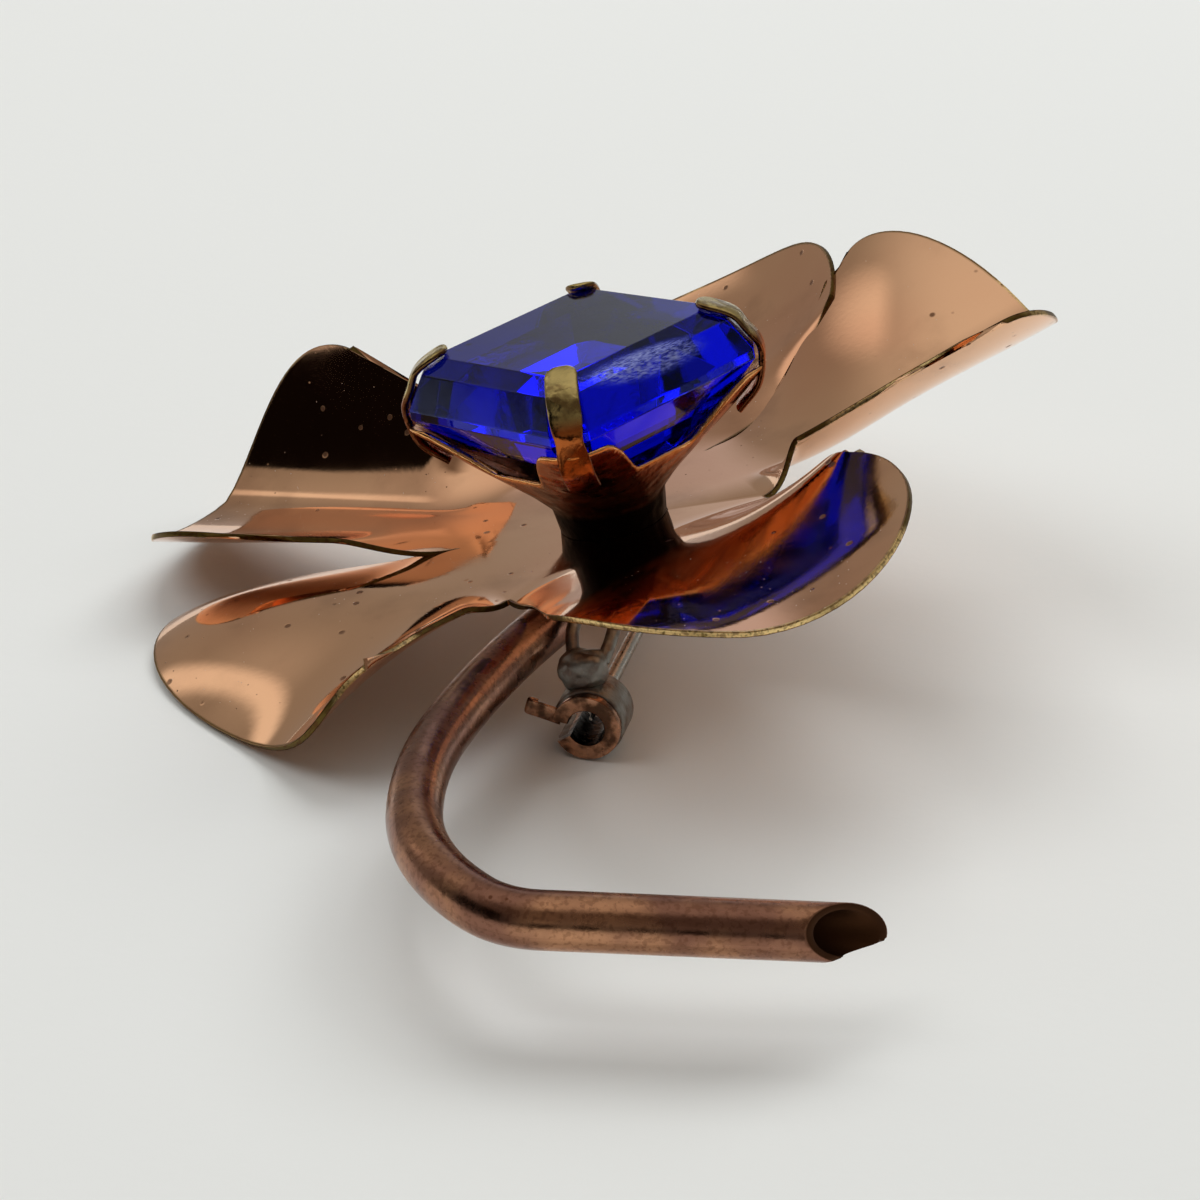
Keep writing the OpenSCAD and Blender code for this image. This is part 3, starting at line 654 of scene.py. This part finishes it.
def petal_sheet(shell, rims, row, slit_r, slit_l, thick, rim_r, rows=52, columns=64):
    """Adds one petal: its top, its underside one sheet lower along the top's normal, and a cut
    rim whose edges are quarter rounds. Rows and columns crowd towards the rim as a cosine."""
    s = np.sin(np.linspace(0, math.pi / 2, rows + 1))
    t = np.sin(np.linspace(-math.pi / 2, math.pi / 2, columns + 1))
    s_grid, t_grid = np.meshgrid(s, t, indexing="ij")
    top = petal_top(row, slit_r, slit_l, s_grid, t_grid)
    normal = unit(np.cross(np.gradient(top, axis=0), np.gradient(top, axis=1)))
    normal[0] = (0, 0, 1)
    right = [(i, 0) for i in range(rows)]
    tip = [(rows, j) for j in range(columns)]
    left = [(i, columns) for i in range(rows, -1, -1)]
    i, j = np.array(right + tip + left).T
    edge = top[i, j]
    n = normal[i, j]
    out = unit(np.cross(np.gradient(edge, axis=0), n))
    radius = (rim_r * ramp(s[i], ROOT_ROUND))[:, None]
    inset = edge - out * radius
    turns = np.radians((0, 30, 60, 90))
    strips = [inset + out * radius * math.sin(a) - n * radius * (1 - math.cos(a)) for a in turns]
    strips += [inset + out * radius * math.cos(a) - n * (thick - radius + radius * math.sin(a))
               for a in turns]
    top[i, j] = inset
    under = top - normal * thick
    middle = np.array([[0, 0, 0], [0, 0, -thick]])
    size = (rows + 1) * (columns + 1)
    quads = grid_quads(rows + 1, columns + 1)
    fan = [[2 * size, k + 1, k] for k in range(columns)]
    fan += [[2 * size + 1, size + k, size + k + 1] for k in range(columns)]
    shell.add(from_flower(np.vstack([top.reshape(-1, 3), under.reshape(-1, 3), middle])),
              quads[:, ::-1].tolist() + (quads + size).tolist() + fan)
    rim = np.stack(strips)
    shell.add(from_flower(rim.reshape(-1, 3)), grid_quads(len(strips), len(i)).tolist())
    edges = (top[:, :1], top[:, -1:], top[-1:])
    near = np.min([np.linalg.norm(top - e, axis=2) for e in edges], axis=0).ravel()
    fade = (1 - ramp(near, RIM_FADE)) * np.repeat(ramp(s, ROOT_FADE), columns + 1)
    rims += [fade, fade * RIM_UNDER, [0, 0], np.tile(ramp(s[i], ROOT_FADE), len(strips))]


class BROOCH_OT_petals(bpy.types.Operator):
    """Five petals, bent from one slit sheet"""
    bl_idname = "brooch.petals"
    bl_label = "Petals"

    def execute(self, context):
        sizes = context.scene.brooch_sizes
        shell = Shell()
        rims = []
        for k, row in enumerate(PETALS):
            petal_sheet(shell, rims, row, SLITS[k], SLITS[(k + 1) % len(SLITS)],
                        sizes.sheet_t / MM, sizes.rim_r / MM)
        shell.build("petal_sheet", copper_plating(), "brooch", "copper_sheet", "petals",
                    sharp=60, attributes={"rim": np.concatenate(rims)})
        return {"FINISHED"}


def cup_radius(a, z):
    """Outside of the cup at an angle from the middle of a side: the superellipse whose half width
    and power follow the height."""
    heights, halves, powers = np.array(CUP).T
    power = np.interp(z, heights, powers)
    reach = np.abs(np.cos(a)) ** power + np.abs(np.sin(a)) ** power
    return np.interp(z, heights, halves) / reach ** (1 / power)


def cup_rim(a):
    """Height of the cup's rim at an angle: high lobes about the corners, low between them."""
    off = np.abs(np.degrees(a) % 90 - 45)
    return RIM_LOW + (RIM_HIGH - RIM_LOW) * (1 - ramp(off - LOBE_HALF + LOBE_FALL, LOBE_FALL))


def cup_to_flower(points):
    """From the cup's own axes, square to the stone's sides, to the flower's frame."""
    return np.asarray(points, float) @ turn_z(STONE_TURN + 45).T + np.array(CUP_AT)


def cup_rings(wall, sides=192, rows=26):
    """Rings of the cup from the middle of its underside up the outside, over the rounded rim and
    down the inside to the middle of its floor."""
    a = np.linspace(0, 2 * math.pi, sides, endpoint=False)
    rim = cup_rim(a)
    rings = []
    round_r = wall / 2
    for share in np.linspace(0, 1, rows):
        z = GAP + share * (rim - round_r - GAP)
        rings.append((cup_radius(a, z), z))
    for turn in np.radians((30, 60, 90, 120, 150)):
        z = rim - round_r + round_r * math.sin(turn)
        rings.append((cup_radius(a, z) - round_r * (1 - math.cos(turn)), z))
    for share in np.linspace(1, 0, rows):
        z = CUP_FLOOR + share * (rim - round_r - CUP_FLOOR)
        rings.append((cup_radius(a, z) - wall, z))
    return np.stack([np.stack([r * np.cos(a), r * np.sin(a), z], -1) for r, z in rings])


def strap_rings(path, side, normal, width, thick, around=28, power=3.2):
    """Rings of a strap along a path: each is a superellipse across the side and normal vectors."""
    v = np.linspace(0, 2 * math.pi, around, endpoint=False)
    c = np.sign(np.cos(v)) * np.abs(np.cos(v)) ** (2 / power)
    s = np.sign(np.sin(v)) * np.abs(np.sin(v)) ** (2 / power)
    across = side[:, None] * (width[:, None] / 2 * c)[..., None]
    through = normal[:, None] * (thick[:, None] / 2 * s)[..., None]
    return path[:, None] + across + through


def prong_rings(width, thick, count=60):
    """Rings of one prong over the corner at azimuth 0 of its own frame: the middle line is a
    smooth curve in the upright plane through the corner. The prong narrows to a waist where it
    bends over the girdle and ends in a half round."""
    line = smooth_line(PRONG, count)
    path = np.stack([line[:, 0], np.zeros(count), line[:, 1]], 1)
    tangent = unit(np.gradient(path, axis=0))
    side = np.tile([0.0, 1.0, 0.0], (count, 1))
    normal = np.cross(tangent, side)
    length = np.concatenate([[0], np.cumsum(np.linalg.norm(np.diff(path, axis=0), axis=1))])
    left = np.maximum(length[-1] - length, 0)
    end = np.minimum(left / (width / 2), 1)
    half_round = np.sqrt(np.maximum(1 - (1 - end) ** 2, 0.0))
    lost, height, half = PRONG_WAIST
    waist = 1 - lost * np.exp(-((path[:, 2] - height) / half) ** 2)
    return strap_rings(path, side, normal, width * waist * half_round,
                       thick * np.minimum(half_round * 1.5 + 0.05, 1))


class BROOCH_OT_setting(bpy.types.Operator):
    """Stamped cup with its four prongs"""
    bl_idname = "brooch.setting"
    bl_label = "Setting"

    def execute(self, context):
        sizes = context.scene.brooch_sizes
        shell = Shell()
        heights, sides, lips = [], [], []
        parts = [cup_rings(sizes.cup_wall / MM)]
        prong = prong_rings(sizes.prong_w / MM, sizes.prong_t / MM)
        parts += [prong @ turn_z(90 * k + 45).T for k in range(4)]
        for k, rings in enumerate(parts):
            shell.tube(from_flower(cup_to_flower(rings)))
            heights += [rings[..., 2].ravel(), [rings[0, :, 2].mean(), rings[-1, :, 2].mean()]]
            around = np.linspace(0, 2 * math.pi, rings.shape[1], endpoint=False)
            on_side = ramp(np.abs(np.cos(around)) - 0.86, 0.1) if k else np.zeros(rings.shape[1])
            sides += [np.tile(on_side, rings.shape[0]), [0, 0]]
            below = cup_rim(around) - rings[..., 2] if k == 0 else np.ones(rings.shape[:2])
            lips += [1 - ramp(below - LIP_KEEP, LIP_FADE).ravel(), [0, 0]]
        shell.build("pronged_cup", setting_plating(), "brooch", "copper_setting", "setting", sharp=70,
                    attributes={"height_mm": np.concatenate(heights), "side": np.concatenate(sides),
                                "lip": np.concatenate(lips)})
        return {"FINISHED"}


def stone_ring(row):
    """Eight corners of one ring of the stone: a square with its corners cut off."""
    h, c, z = row[1], row[1] - row[2], TABLE_H - row[0]
    return [(h, -c, z), (h, c, z), (c, h, z), (-c, h, z), (-h, c, z), (-h, -c, z), (-c, -h, z), (c, -h, z)]


class BROOCH_OT_stone(bpy.types.Operator):
    """Square step-cut stone"""
    bl_idname = "brooch.stone"
    bl_label = "Stone"

    def execute(self, context):
        sizes = context.scene.brooch_sizes
        rings = np.array([stone_ring(row) for row in STONE])
        shell = Shell()
        faces = grid_quads(len(rings), 8, wrap=True).tolist()
        last = (len(rings) - 1) * 8
        faces += [list(range(7, -1, -1)), [last + k for k in range(8)]]
        shell.add(from_flower(cup_to_flower(rings.reshape(-1, 3))), faces)
        stone = shell.build("step_cut_stone", blue_glass(), "brooch", "blue_glass", "stone", sharp=1)
        stone.data.materials.append(stone_foil())
        first_foiled = min(from_flower(cup_to_flower(rings[FOIL_RING]))[:, 2])
        for face in stone.data.polygons:
            face.material_index = int(face.center.z < first_foiled)
        wear = stone.modifiers.new("facet wear", "BEVEL")
        wear.width = sizes.facet_wear
        wear.segments = 2
        wear.limit_method = "NONE"
        wear.harden_normals = True
        return {"FINISHED"}


def stem_line(step=2.0):
    """Stations of the stem's middle line: level place and heading, along arcs of a given radius
    and turn, and then straight to the cut."""
    x, y = STEM_START
    heading = STEM_HEADING
    stations = []
    for radius, turn in STEM_ARCS:
        count = math.ceil(turn / step)
        for k in range(count):
            u = math.radians(heading + turn * k / count)
            h = math.radians(heading)
            stations.append((x + radius * (math.sin(u) - math.sin(h)),
                             y + radius * (math.cos(h) - math.cos(u)), u))
        u, h = math.radians(heading + turn), math.radians(heading)
        x += radius * (math.sin(u) - math.sin(h))
        y += radius * (math.cos(h) - math.cos(u))
        heading += turn
    h = math.radians(heading)
    run = STEM_RUN + STEM_CUT_L / 2
    for share in np.linspace(0, 1, 20):
        stations.append((x + run * share * math.cos(h), y + run * share * math.sin(h), h))
    return np.array(stations)


class BROOCH_OT_stem(bpy.types.Operator):
    """Bent tube of the stem with its slanted cut"""
    bl_idname = "brooch.stem"
    bl_label = "Stem"

    def execute(self, context):
        sizes = context.scene.brooch_sizes
        outer_r = sizes.stem_d / MM / 2
        inner_r = outer_r - sizes.stem_wall / MM
        worn = STEM_WORN
        line = stem_line()
        sides = 48
        a = np.linspace(0, 2 * math.pi, sides, endpoint=False)

        def ring(station, r, cut, back=0.0):
            """A circle square to the line, sheared by a share of the two slanted cuts: each point
            moves along by the lesser of a wave about the tube and a sloping plane."""
            h = station[2]
            side, up = r * np.cos(a), r * np.sin(a)
            slant = STEM_CUT_L / 2 * r / outer_r * np.cos(a - math.radians(STEM_CUT_TURN))
            trim = STEM_TRIM[0] + STEM_TRIM[1] * side + STEM_TRIM[2] * up
            along = cut * np.minimum(slant, trim) - back
            return np.stack([station[0] + along * math.cos(h) - side * math.sin(h),
                             station[1] + along * math.sin(h) + side * math.cos(h),
                             STEM_H + up], -1)

        end = line[-1]
        rings = [ring(line[0], outer_r - worn, 0)]
        rings += [ring(station, outer_r, 0) for station in line[:-STEM_EASE]]
        shares = np.linspace(0, 1, STEM_EASE)
        rings += [ring(station, outer_r, share, worn * (share == 1))
                  for station, share in zip(line[-STEM_EASE:], shares)]
        rings += [ring(end, outer_r - worn / 3, 1, worn / 3), ring(end, outer_r - worn, 1),
                  ring(end, inner_r + worn, 1), ring(end, inner_r, 1, worn)]
        outside = len(rings) - 1
        rings += [ring(station, inner_r, share)
                  for station, share in zip(line[-2::-1], shares[-2::-1])]
        rings += [ring(station, inner_r, 0) for station in line[-STEM_EASE - 1::-1]]
        rings.append(rings[0])
        rings = np.stack(rings)
        # Painted shade and reflection: the bore and the cut's end face are marked for the dark brown that
        # stands in for shade inside the tube and a dark reflection on the cut face
        bore = np.repeat(np.arange(len(rings)) >= outside - 2, sides).astype(float)
        bore[-sides:] = 0
        shell = Shell()
        shell.tube(rings * MM, cap=False)
        stem = shell.build("stem_tube", stem_plating(), "brooch", "copper_stem", "stem", sharp=50,
                           attributes={"bore": bore})
        self.lay_along(stem, line)
        return {"FINISHED"}

    @staticmethod
    def lay_along(stem, line):
        """UV map in metres: x along the tube from its hidden end, y around it."""
        mesh = stem.data
        co = np.empty(len(mesh.vertices) * 3)
        mesh.vertices.foreach_get("co", co)
        co = co.reshape(-1, 3) / MM
        offset = co[:, None, :2] - line[None, :, :2]
        near = np.argmin(np.linalg.norm(offset, axis=2), axis=1)
        length = np.concatenate([[0], np.cumsum(np.linalg.norm(np.diff(line[:, :2], axis=0), axis=1))])
        h = line[near, 2]
        level = co[:, :2] - line[near, :2]
        across = -level[:, 0] * np.sin(h) + level[:, 1] * np.cos(h)
        around = np.arctan2(co[:, 2] - STEM_H, across)
        uv = np.stack([length[near] * MM, around * MM], 1)
        layer = mesh.uv_layers.new(name="along")
        index = np.empty(len(mesh.loops), np.int32)
        mesh.loops.foreach_get("vertex_index", index)
        layer.data.foreach_set("uv", uv[index].ravel())


def rounded_outline(corners, radius, steps=3):
    """A closed outline whose corners are rounded: each corner is an arc between the points at
    the radius before and after it, drawn as the quadratic curve through the corner."""
    corners = np.asarray(corners, float)
    before = corners + unit(np.roll(corners, 1, 0) - corners) * radius
    after = corners + unit(np.roll(corners, -1, 0) - corners) * radius
    u = np.linspace(0, 1, steps + 1)[None, :, None]
    curve = (1 - u) ** 2 * before[:, None] + 2 * u * (1 - u) * corners[:, None] + u ** 2 * after[:, None]
    return curve.reshape(-1, 2)


def slotted_turning(outline, slot_w, steps=72):
    """Rings of a turned piece with a slot on its left: an outline in distance from the axis and
    place along the pin, carried round the pin's line from one side of the slot to the other."""
    open_angle = math.asin(slot_w / 2 / SLEEVE_R)
    a = np.linspace(math.pi + open_angle, 3 * math.pi - open_angle, steps)
    r, y = outline.T
    return np.stack([np.outer(np.cos(a), r), np.tile(y, (steps, 1)), np.outer(np.sin(a), r)], -1)


def add_turning(shell, rings):
    """Adds a slotted turned piece, its two ends closed by the outline itself."""
    n, m = rings.shape[:2]
    faces = grid_quads(n, m, wrap=True).tolist()
    faces += [list(range(m))[::-1], [(n - 1) * m + k for k in range(m)]]
    shell.add(from_pin(rings.reshape(-1, 3)), faces)


def wire_rings(points, radius, count=24, around=16):
    """Rings of a round wire along a smooth curve through the points."""
    path = smooth_line(points, count)
    tangent = unit(np.gradient(path, axis=0))
    side = unit(np.cross(tangent, (0.3, 0.9, 0.1)))
    normal = np.cross(tangent, side)
    size = np.full(count, 2 * radius)
    return strap_rings(path, side, normal, size, size, around, 2)


def lump_rings(middle, size, lumpiness, rows=28, around=40):
    """A lump of solder: a squarish ball, |x|^p + |y|^p + |z|^p = 1 with p = 3, whose distance from
    its middle sways by smooth noise."""
    lat = np.linspace(-math.pi / 2, math.pi / 2, rows)[:, None]
    lon = np.linspace(0, 2 * math.pi, around, endpoint=False)[None, :]
    d = np.stack([np.cos(lat) * np.cos(lon), np.cos(lat) * np.sin(lon), np.sin(lat) * np.ones_like(lon)], -1)
    d /= (np.abs(d) ** 3).sum(-1, keepdims=True) ** (1 / 3)
    sway = np.array([noise.noise(Vector(v) * LUMP_WAVES + LUMP_SEED) for v in d.reshape(-1, 3)])
    d = d * (1 - lumpiness + lumpiness * sway.reshape(d.shape[:2]))[..., None]
    return np.asarray(middle) + d * np.asarray(size) / 2


class BROOCH_OT_catch(bpy.types.Operator):
    """Catch: slotted ring, lump of solder, two legs and the foot"""
    bl_idname = "brooch.catch"
    bl_label = "Catch"

    def execute(self, context):
        shell = Shell()
        bore = SLEEVE_R + SLEEVE_GAP
        outline = rounded_outline(((bore, 0), (RING_R, 0), (RING_R, RING_L), (bore, RING_L)), 0.1)
        add_turning(shell, slotted_turning(outline, SLOT_W))
        shell.tube(from_pin(lump_rings(LUMP_AT, LUMP_SIZE, LUMP_SWAY)))
        for leg in LEGS:
            shell.tube(from_pin(wire_rings(leg, LEG_R)))
        shell.tube(from_pin(self.foot_rings()))
        shell.build("soldered_catch", grey_solder(), "brooch", "grey_findings", "catch", sharp=50)
        return {"FINISHED"}

    @staticmethod
    def foot_rings(middle=1e-4, round_r=0.12, around=40):
        """Rings of the round foot: a rounded outline from its middle, turned about its own axis."""
        high, low = SHEET_UNDER, SHEET_UNDER - FOOT_T
        outline = rounded_outline(((middle, high), (FOOT_R, high), (FOOT_R, low), (middle, low)), round_r)
        a = np.linspace(0, 2 * math.pi, around, endpoint=False)
        r, z = outline[2:-2].T
        return np.stack([np.outer(r, np.cos(a)) + FOOT_AT[0], np.outer(r, np.sin(a)) + FOOT_AT[1],
                         np.outer(z, np.ones(around))], -1)


class BROOCH_OT_lever(bpy.types.Operator):
    """Turning sleeve of the catch with its folded thumb tab"""
    bl_idname = "brooch.lever"
    bl_label = "Catch lever"

    def execute(self, context):
        shell = Shell()
        front, back = -FLANGE_T - GAP, RING_L + GAP + LIP_T
        corners = ((EYE_R, front), (FLANGE_R, front), (FLANGE_R, -GAP), (SLEEVE_R, -GAP),
                   (SLEEVE_R, RING_L + GAP), (LIP_R, RING_L + GAP), (LIP_R, back), (EYE_R, back))
        outline = rounded_outline(corners, 0.06)
        turning = slotted_turning(outline, SLOT_W)
        add_turning(shell, turning)
        # The eye's inside, marked as the hollow that is painted black as shade
        hollow = np.tile(outline[:, 0] < EYE_R + 0.04, len(turning))
        a = math.radians(TAB_ANGLE)
        out = np.array([math.cos(a), 0, math.sin(a)])
        across = np.array([-math.sin(a), 0, math.cos(a)])
        path = smooth_line(TAB_REACH[:, None] * out + TAB_ALONG[:, None] * np.array([0, 1, 0]), 36)
        tangent = unit(np.gradient(path, axis=0))
        side = np.tile(across, (len(path), 1))
        normal = np.cross(tangent, side)
        width = np.full(len(path), TAB_W)
        thick = np.full(len(path), TAB_T)
        tab = strap_rings(path, side, normal, width, thick, 20, 4)
        shell.tube(from_pin(tab))
        hollow = np.concatenate([hollow, np.zeros(tab[..., 0].size + 2)])
        shell.build("thumb_lever", catch_copper(), "lever", "copper_findings", "catch_lever", sharp=50,
                    attributes={"hollow": hollow})
        return {"FINISHED"}


class BROOCH_OT_pin(bpy.types.Operator):
    """Finish of the pin, its rivet and its joint"""
    bl_idname = "brooch.pin"
    bl_label = "Pin and joint"

    def execute(self, context):
        solder = grey_solder()
        steel = drawn_steel()
        for node, material in (("pin", steel), ("pin_rivet", steel), ("pin_joint", solder)):
            mesh = frame["nodes"][node].data
            mesh.materials.clear()
            mesh.materials.append(material)
        return {"FINISHED"}


def matte_floor():
    """Painted board: matt, off-white, with a grain too fine to see."""
    colours = bpy.context.scene.brooch_colours
    material, tree, place = new_material("matt_white_board")
    normal = relief(tree, (blotches(tree, place, 0.8, 0.3, 0.7), 0.004))
    return finish(material, tree, {"Base Color": colours.floor, "Roughness": 0.7, "Normal": normal,
                                   "Specular IOR Level": 0.2})


def studio_world():
    """A plain studio: pale overhead, greyer towards the horizon, with a few upright screens round
    the brooch. A screen is a soft-edged rectangle of directions: its edges are where the azimuth
    or the elevation, less the screen's own, meets the half width or the half height."""
    world = bpy.data.worlds.new("studio")
    world.use_nodes = True
    tree = world.node_tree
    tree.nodes.clear()
    place = add_node(tree, "TexCoord", out="Generated")
    height = add_node(tree, "SeparateXYZ", {"Vector": place}, out="Z")
    high = add_node(tree, "MapRange", {"Value": height, "From Min": 0.5, "From Max": 0.99},
                    interpolation_type="SMOOTHSTEP")
    tone = layered(tree, "RGBA", hex_linear(ROOM_LOW), (high, hex_linear(ROOM_HIGH)))
    for azimuth, elevation, wide, tall, soft, colour in SCREENS:
        turned = add_node(tree, "VectorRotate", {"Vector": place, "Angle": math.radians(azimuth)},
                          rotation_type="Z_AXIS")
        xyz = [add_node(tree, "SeparateXYZ", {"Vector": turned}, out=axis) for axis in "XYZ"]
        across = add_node(tree, "Math", {0: xyz[0], 1: xyz[1]}, operation="ARCTAN2")
        up = add_node(tree, "Math", {0: xyz[2]}, operation="ARCSINE")
        inside = add_node(tree, "Math", {0: within(tree, across, 0, wide, soft),
                                         1: within(tree, up, elevation, tall, soft)},
                          operation="MULTIPLY")
        tone = layered(tree, "RGBA", tone, (inside, hex_linear(colour)))
    back = add_node(tree, "Background", {"Color": tone, "Strength": 1.0})
    add_node(tree, "OutputWorld", {"Surface": back})
    bpy.context.scene.world = world


def within(tree, angle, middle, half, soft):
    """1 where an angle lies within a half width of the middle, falling to 0 over the soft edge.
    The angle is in radians, the other values in degrees."""
    off = add_node(tree, "Math", {0: angle, 1: math.radians(middle)}, operation="SUBTRACT")
    size = add_node(tree, "Math", {0: off}, operation="ABSOLUTE")
    return add_node(tree, "MapRange", {"Value": size, "From Min": math.radians(half - soft),
                                       "From Max": math.radians(half + soft),
                                       "To Min": 1.0, "To Max": 0.0}, interpolation_type="SMOOTHSTEP")


def soft_light(name, azimuth, elevation, size_mm, watts):
    """A square soft light one metre away, aimed at the brooch and left out of its mirror images."""
    light = bpy.data.lights.new(name, "AREA")
    light.shape = "SQUARE"
    light.size = size_mm * MM
    light.energy = watts
    lamp = bpy.data.objects.new(name, light)
    bpy.context.scene.collection.objects.link(lamp)
    az, el = math.radians(azimuth), math.radians(elevation)
    place = Vector((math.sin(az) * math.cos(el), math.cos(az) * math.cos(el), math.sin(el)))
    aim = (-place).to_track_quat("-Z", "Y")
    lamp.matrix_world = Matrix.Translation(place) @ aim.to_matrix().to_4x4()
    lamp.visible_glossy = False


class BROOCH_OT_stage(bpy.types.Operator):
    """Floor, lights and camera"""
    bl_idname = "brooch.stage"
    bl_label = "Stage"

    def execute(self, context):
        scene = context.scene
        half = FLOOR_HALF * MM
        mesh = bpy.data.meshes.new("floor")
        corners = [(-half, -half, 0), (half, -half, 0), (half, half, 0), (-half, half, 0)]
        mesh.from_pydata(corners, [], [(0, 1, 2, 3)])
        floor = bpy.data.objects.new("floor", mesh)
        scene.collection.objects.link(floor)
        mesh.materials.append(matte_floor())
        studio_world()
        for row in LIGHTS:
            soft_light(*row)
        self.place_camera(scene)
        scene.view_settings.view_transform = "Standard"
        return {"FINISHED"}

    @staticmethod
    def place_camera(scene):
        """The photograph's view: 26.5 degrees above level from the front, its level tipped."""
        data = bpy.data.cameras.new("camera")
        data.lens = LENS
        data.sensor_width = FILM_W
        data.clip_start = 10 * MM
        data.clip_end = 10
        camera = bpy.data.objects.new("camera", data)
        scene.collection.objects.link(camera)
        tilt = Matrix.Rotation(math.radians(90 - LOOK_DOWN), 4, "X")
        turn = tilt @ Matrix.Rotation(math.radians(LOOK_ROLL), 4, "Z")
        back = turn.to_3x3() @ Vector((0, 0, 1))
        camera.matrix_world = Matrix.Translation((Vector(LOOK_AT) + back * LOOK_FROM) * MM) @ turn
        scene.camera = camera


class BROOCH_PT_panel(bpy.types.Panel):
    """Lists the sizes, the colours and the steps"""
    bl_label = "Flower brooch"
    bl_idname = "BROOCH_PT_panel"
    bl_space_type = "VIEW_3D"
    bl_region_type = "UI"
    bl_category = "Brooch"

    def draw(self, context):
        layout = self.layout
        for group in (context.scene.brooch_sizes, context.scene.brooch_colours):
            for key in group.__annotations__:
                layout.prop(group, key)
        for step in STEPS:
            layout.operator(step.bl_idname)


STEPS = (BROOCH_OT_petals, BROOCH_OT_setting, BROOCH_OT_stone, BROOCH_OT_stem, BROOCH_OT_catch,
         BROOCH_OT_lever, BROOCH_OT_pin, BROOCH_OT_stage)
CLASSES = (BroochSizes, BroochColours, *STEPS, BROOCH_PT_panel)


def register():
    for cls in CLASSES:
        bpy.utils.register_class(cls)
    bpy.types.Scene.brooch_sizes = bpy.props.PointerProperty(type=BroochSizes)
    bpy.types.Scene.brooch_colours = bpy.props.PointerProperty(type=BroochColours)


def unregister():
    del bpy.types.Scene.brooch_colours
    del bpy.types.Scene.brooch_sizes
    for cls in reversed(CLASSES):
        bpy.utils.unregister_class(cls)


def main():
    register()
    for step in STEPS:
        group, call = step.bl_idname.split(".")
        getattr(getattr(bpy.ops, group), call)()


if __name__ == "__main__":
    main()
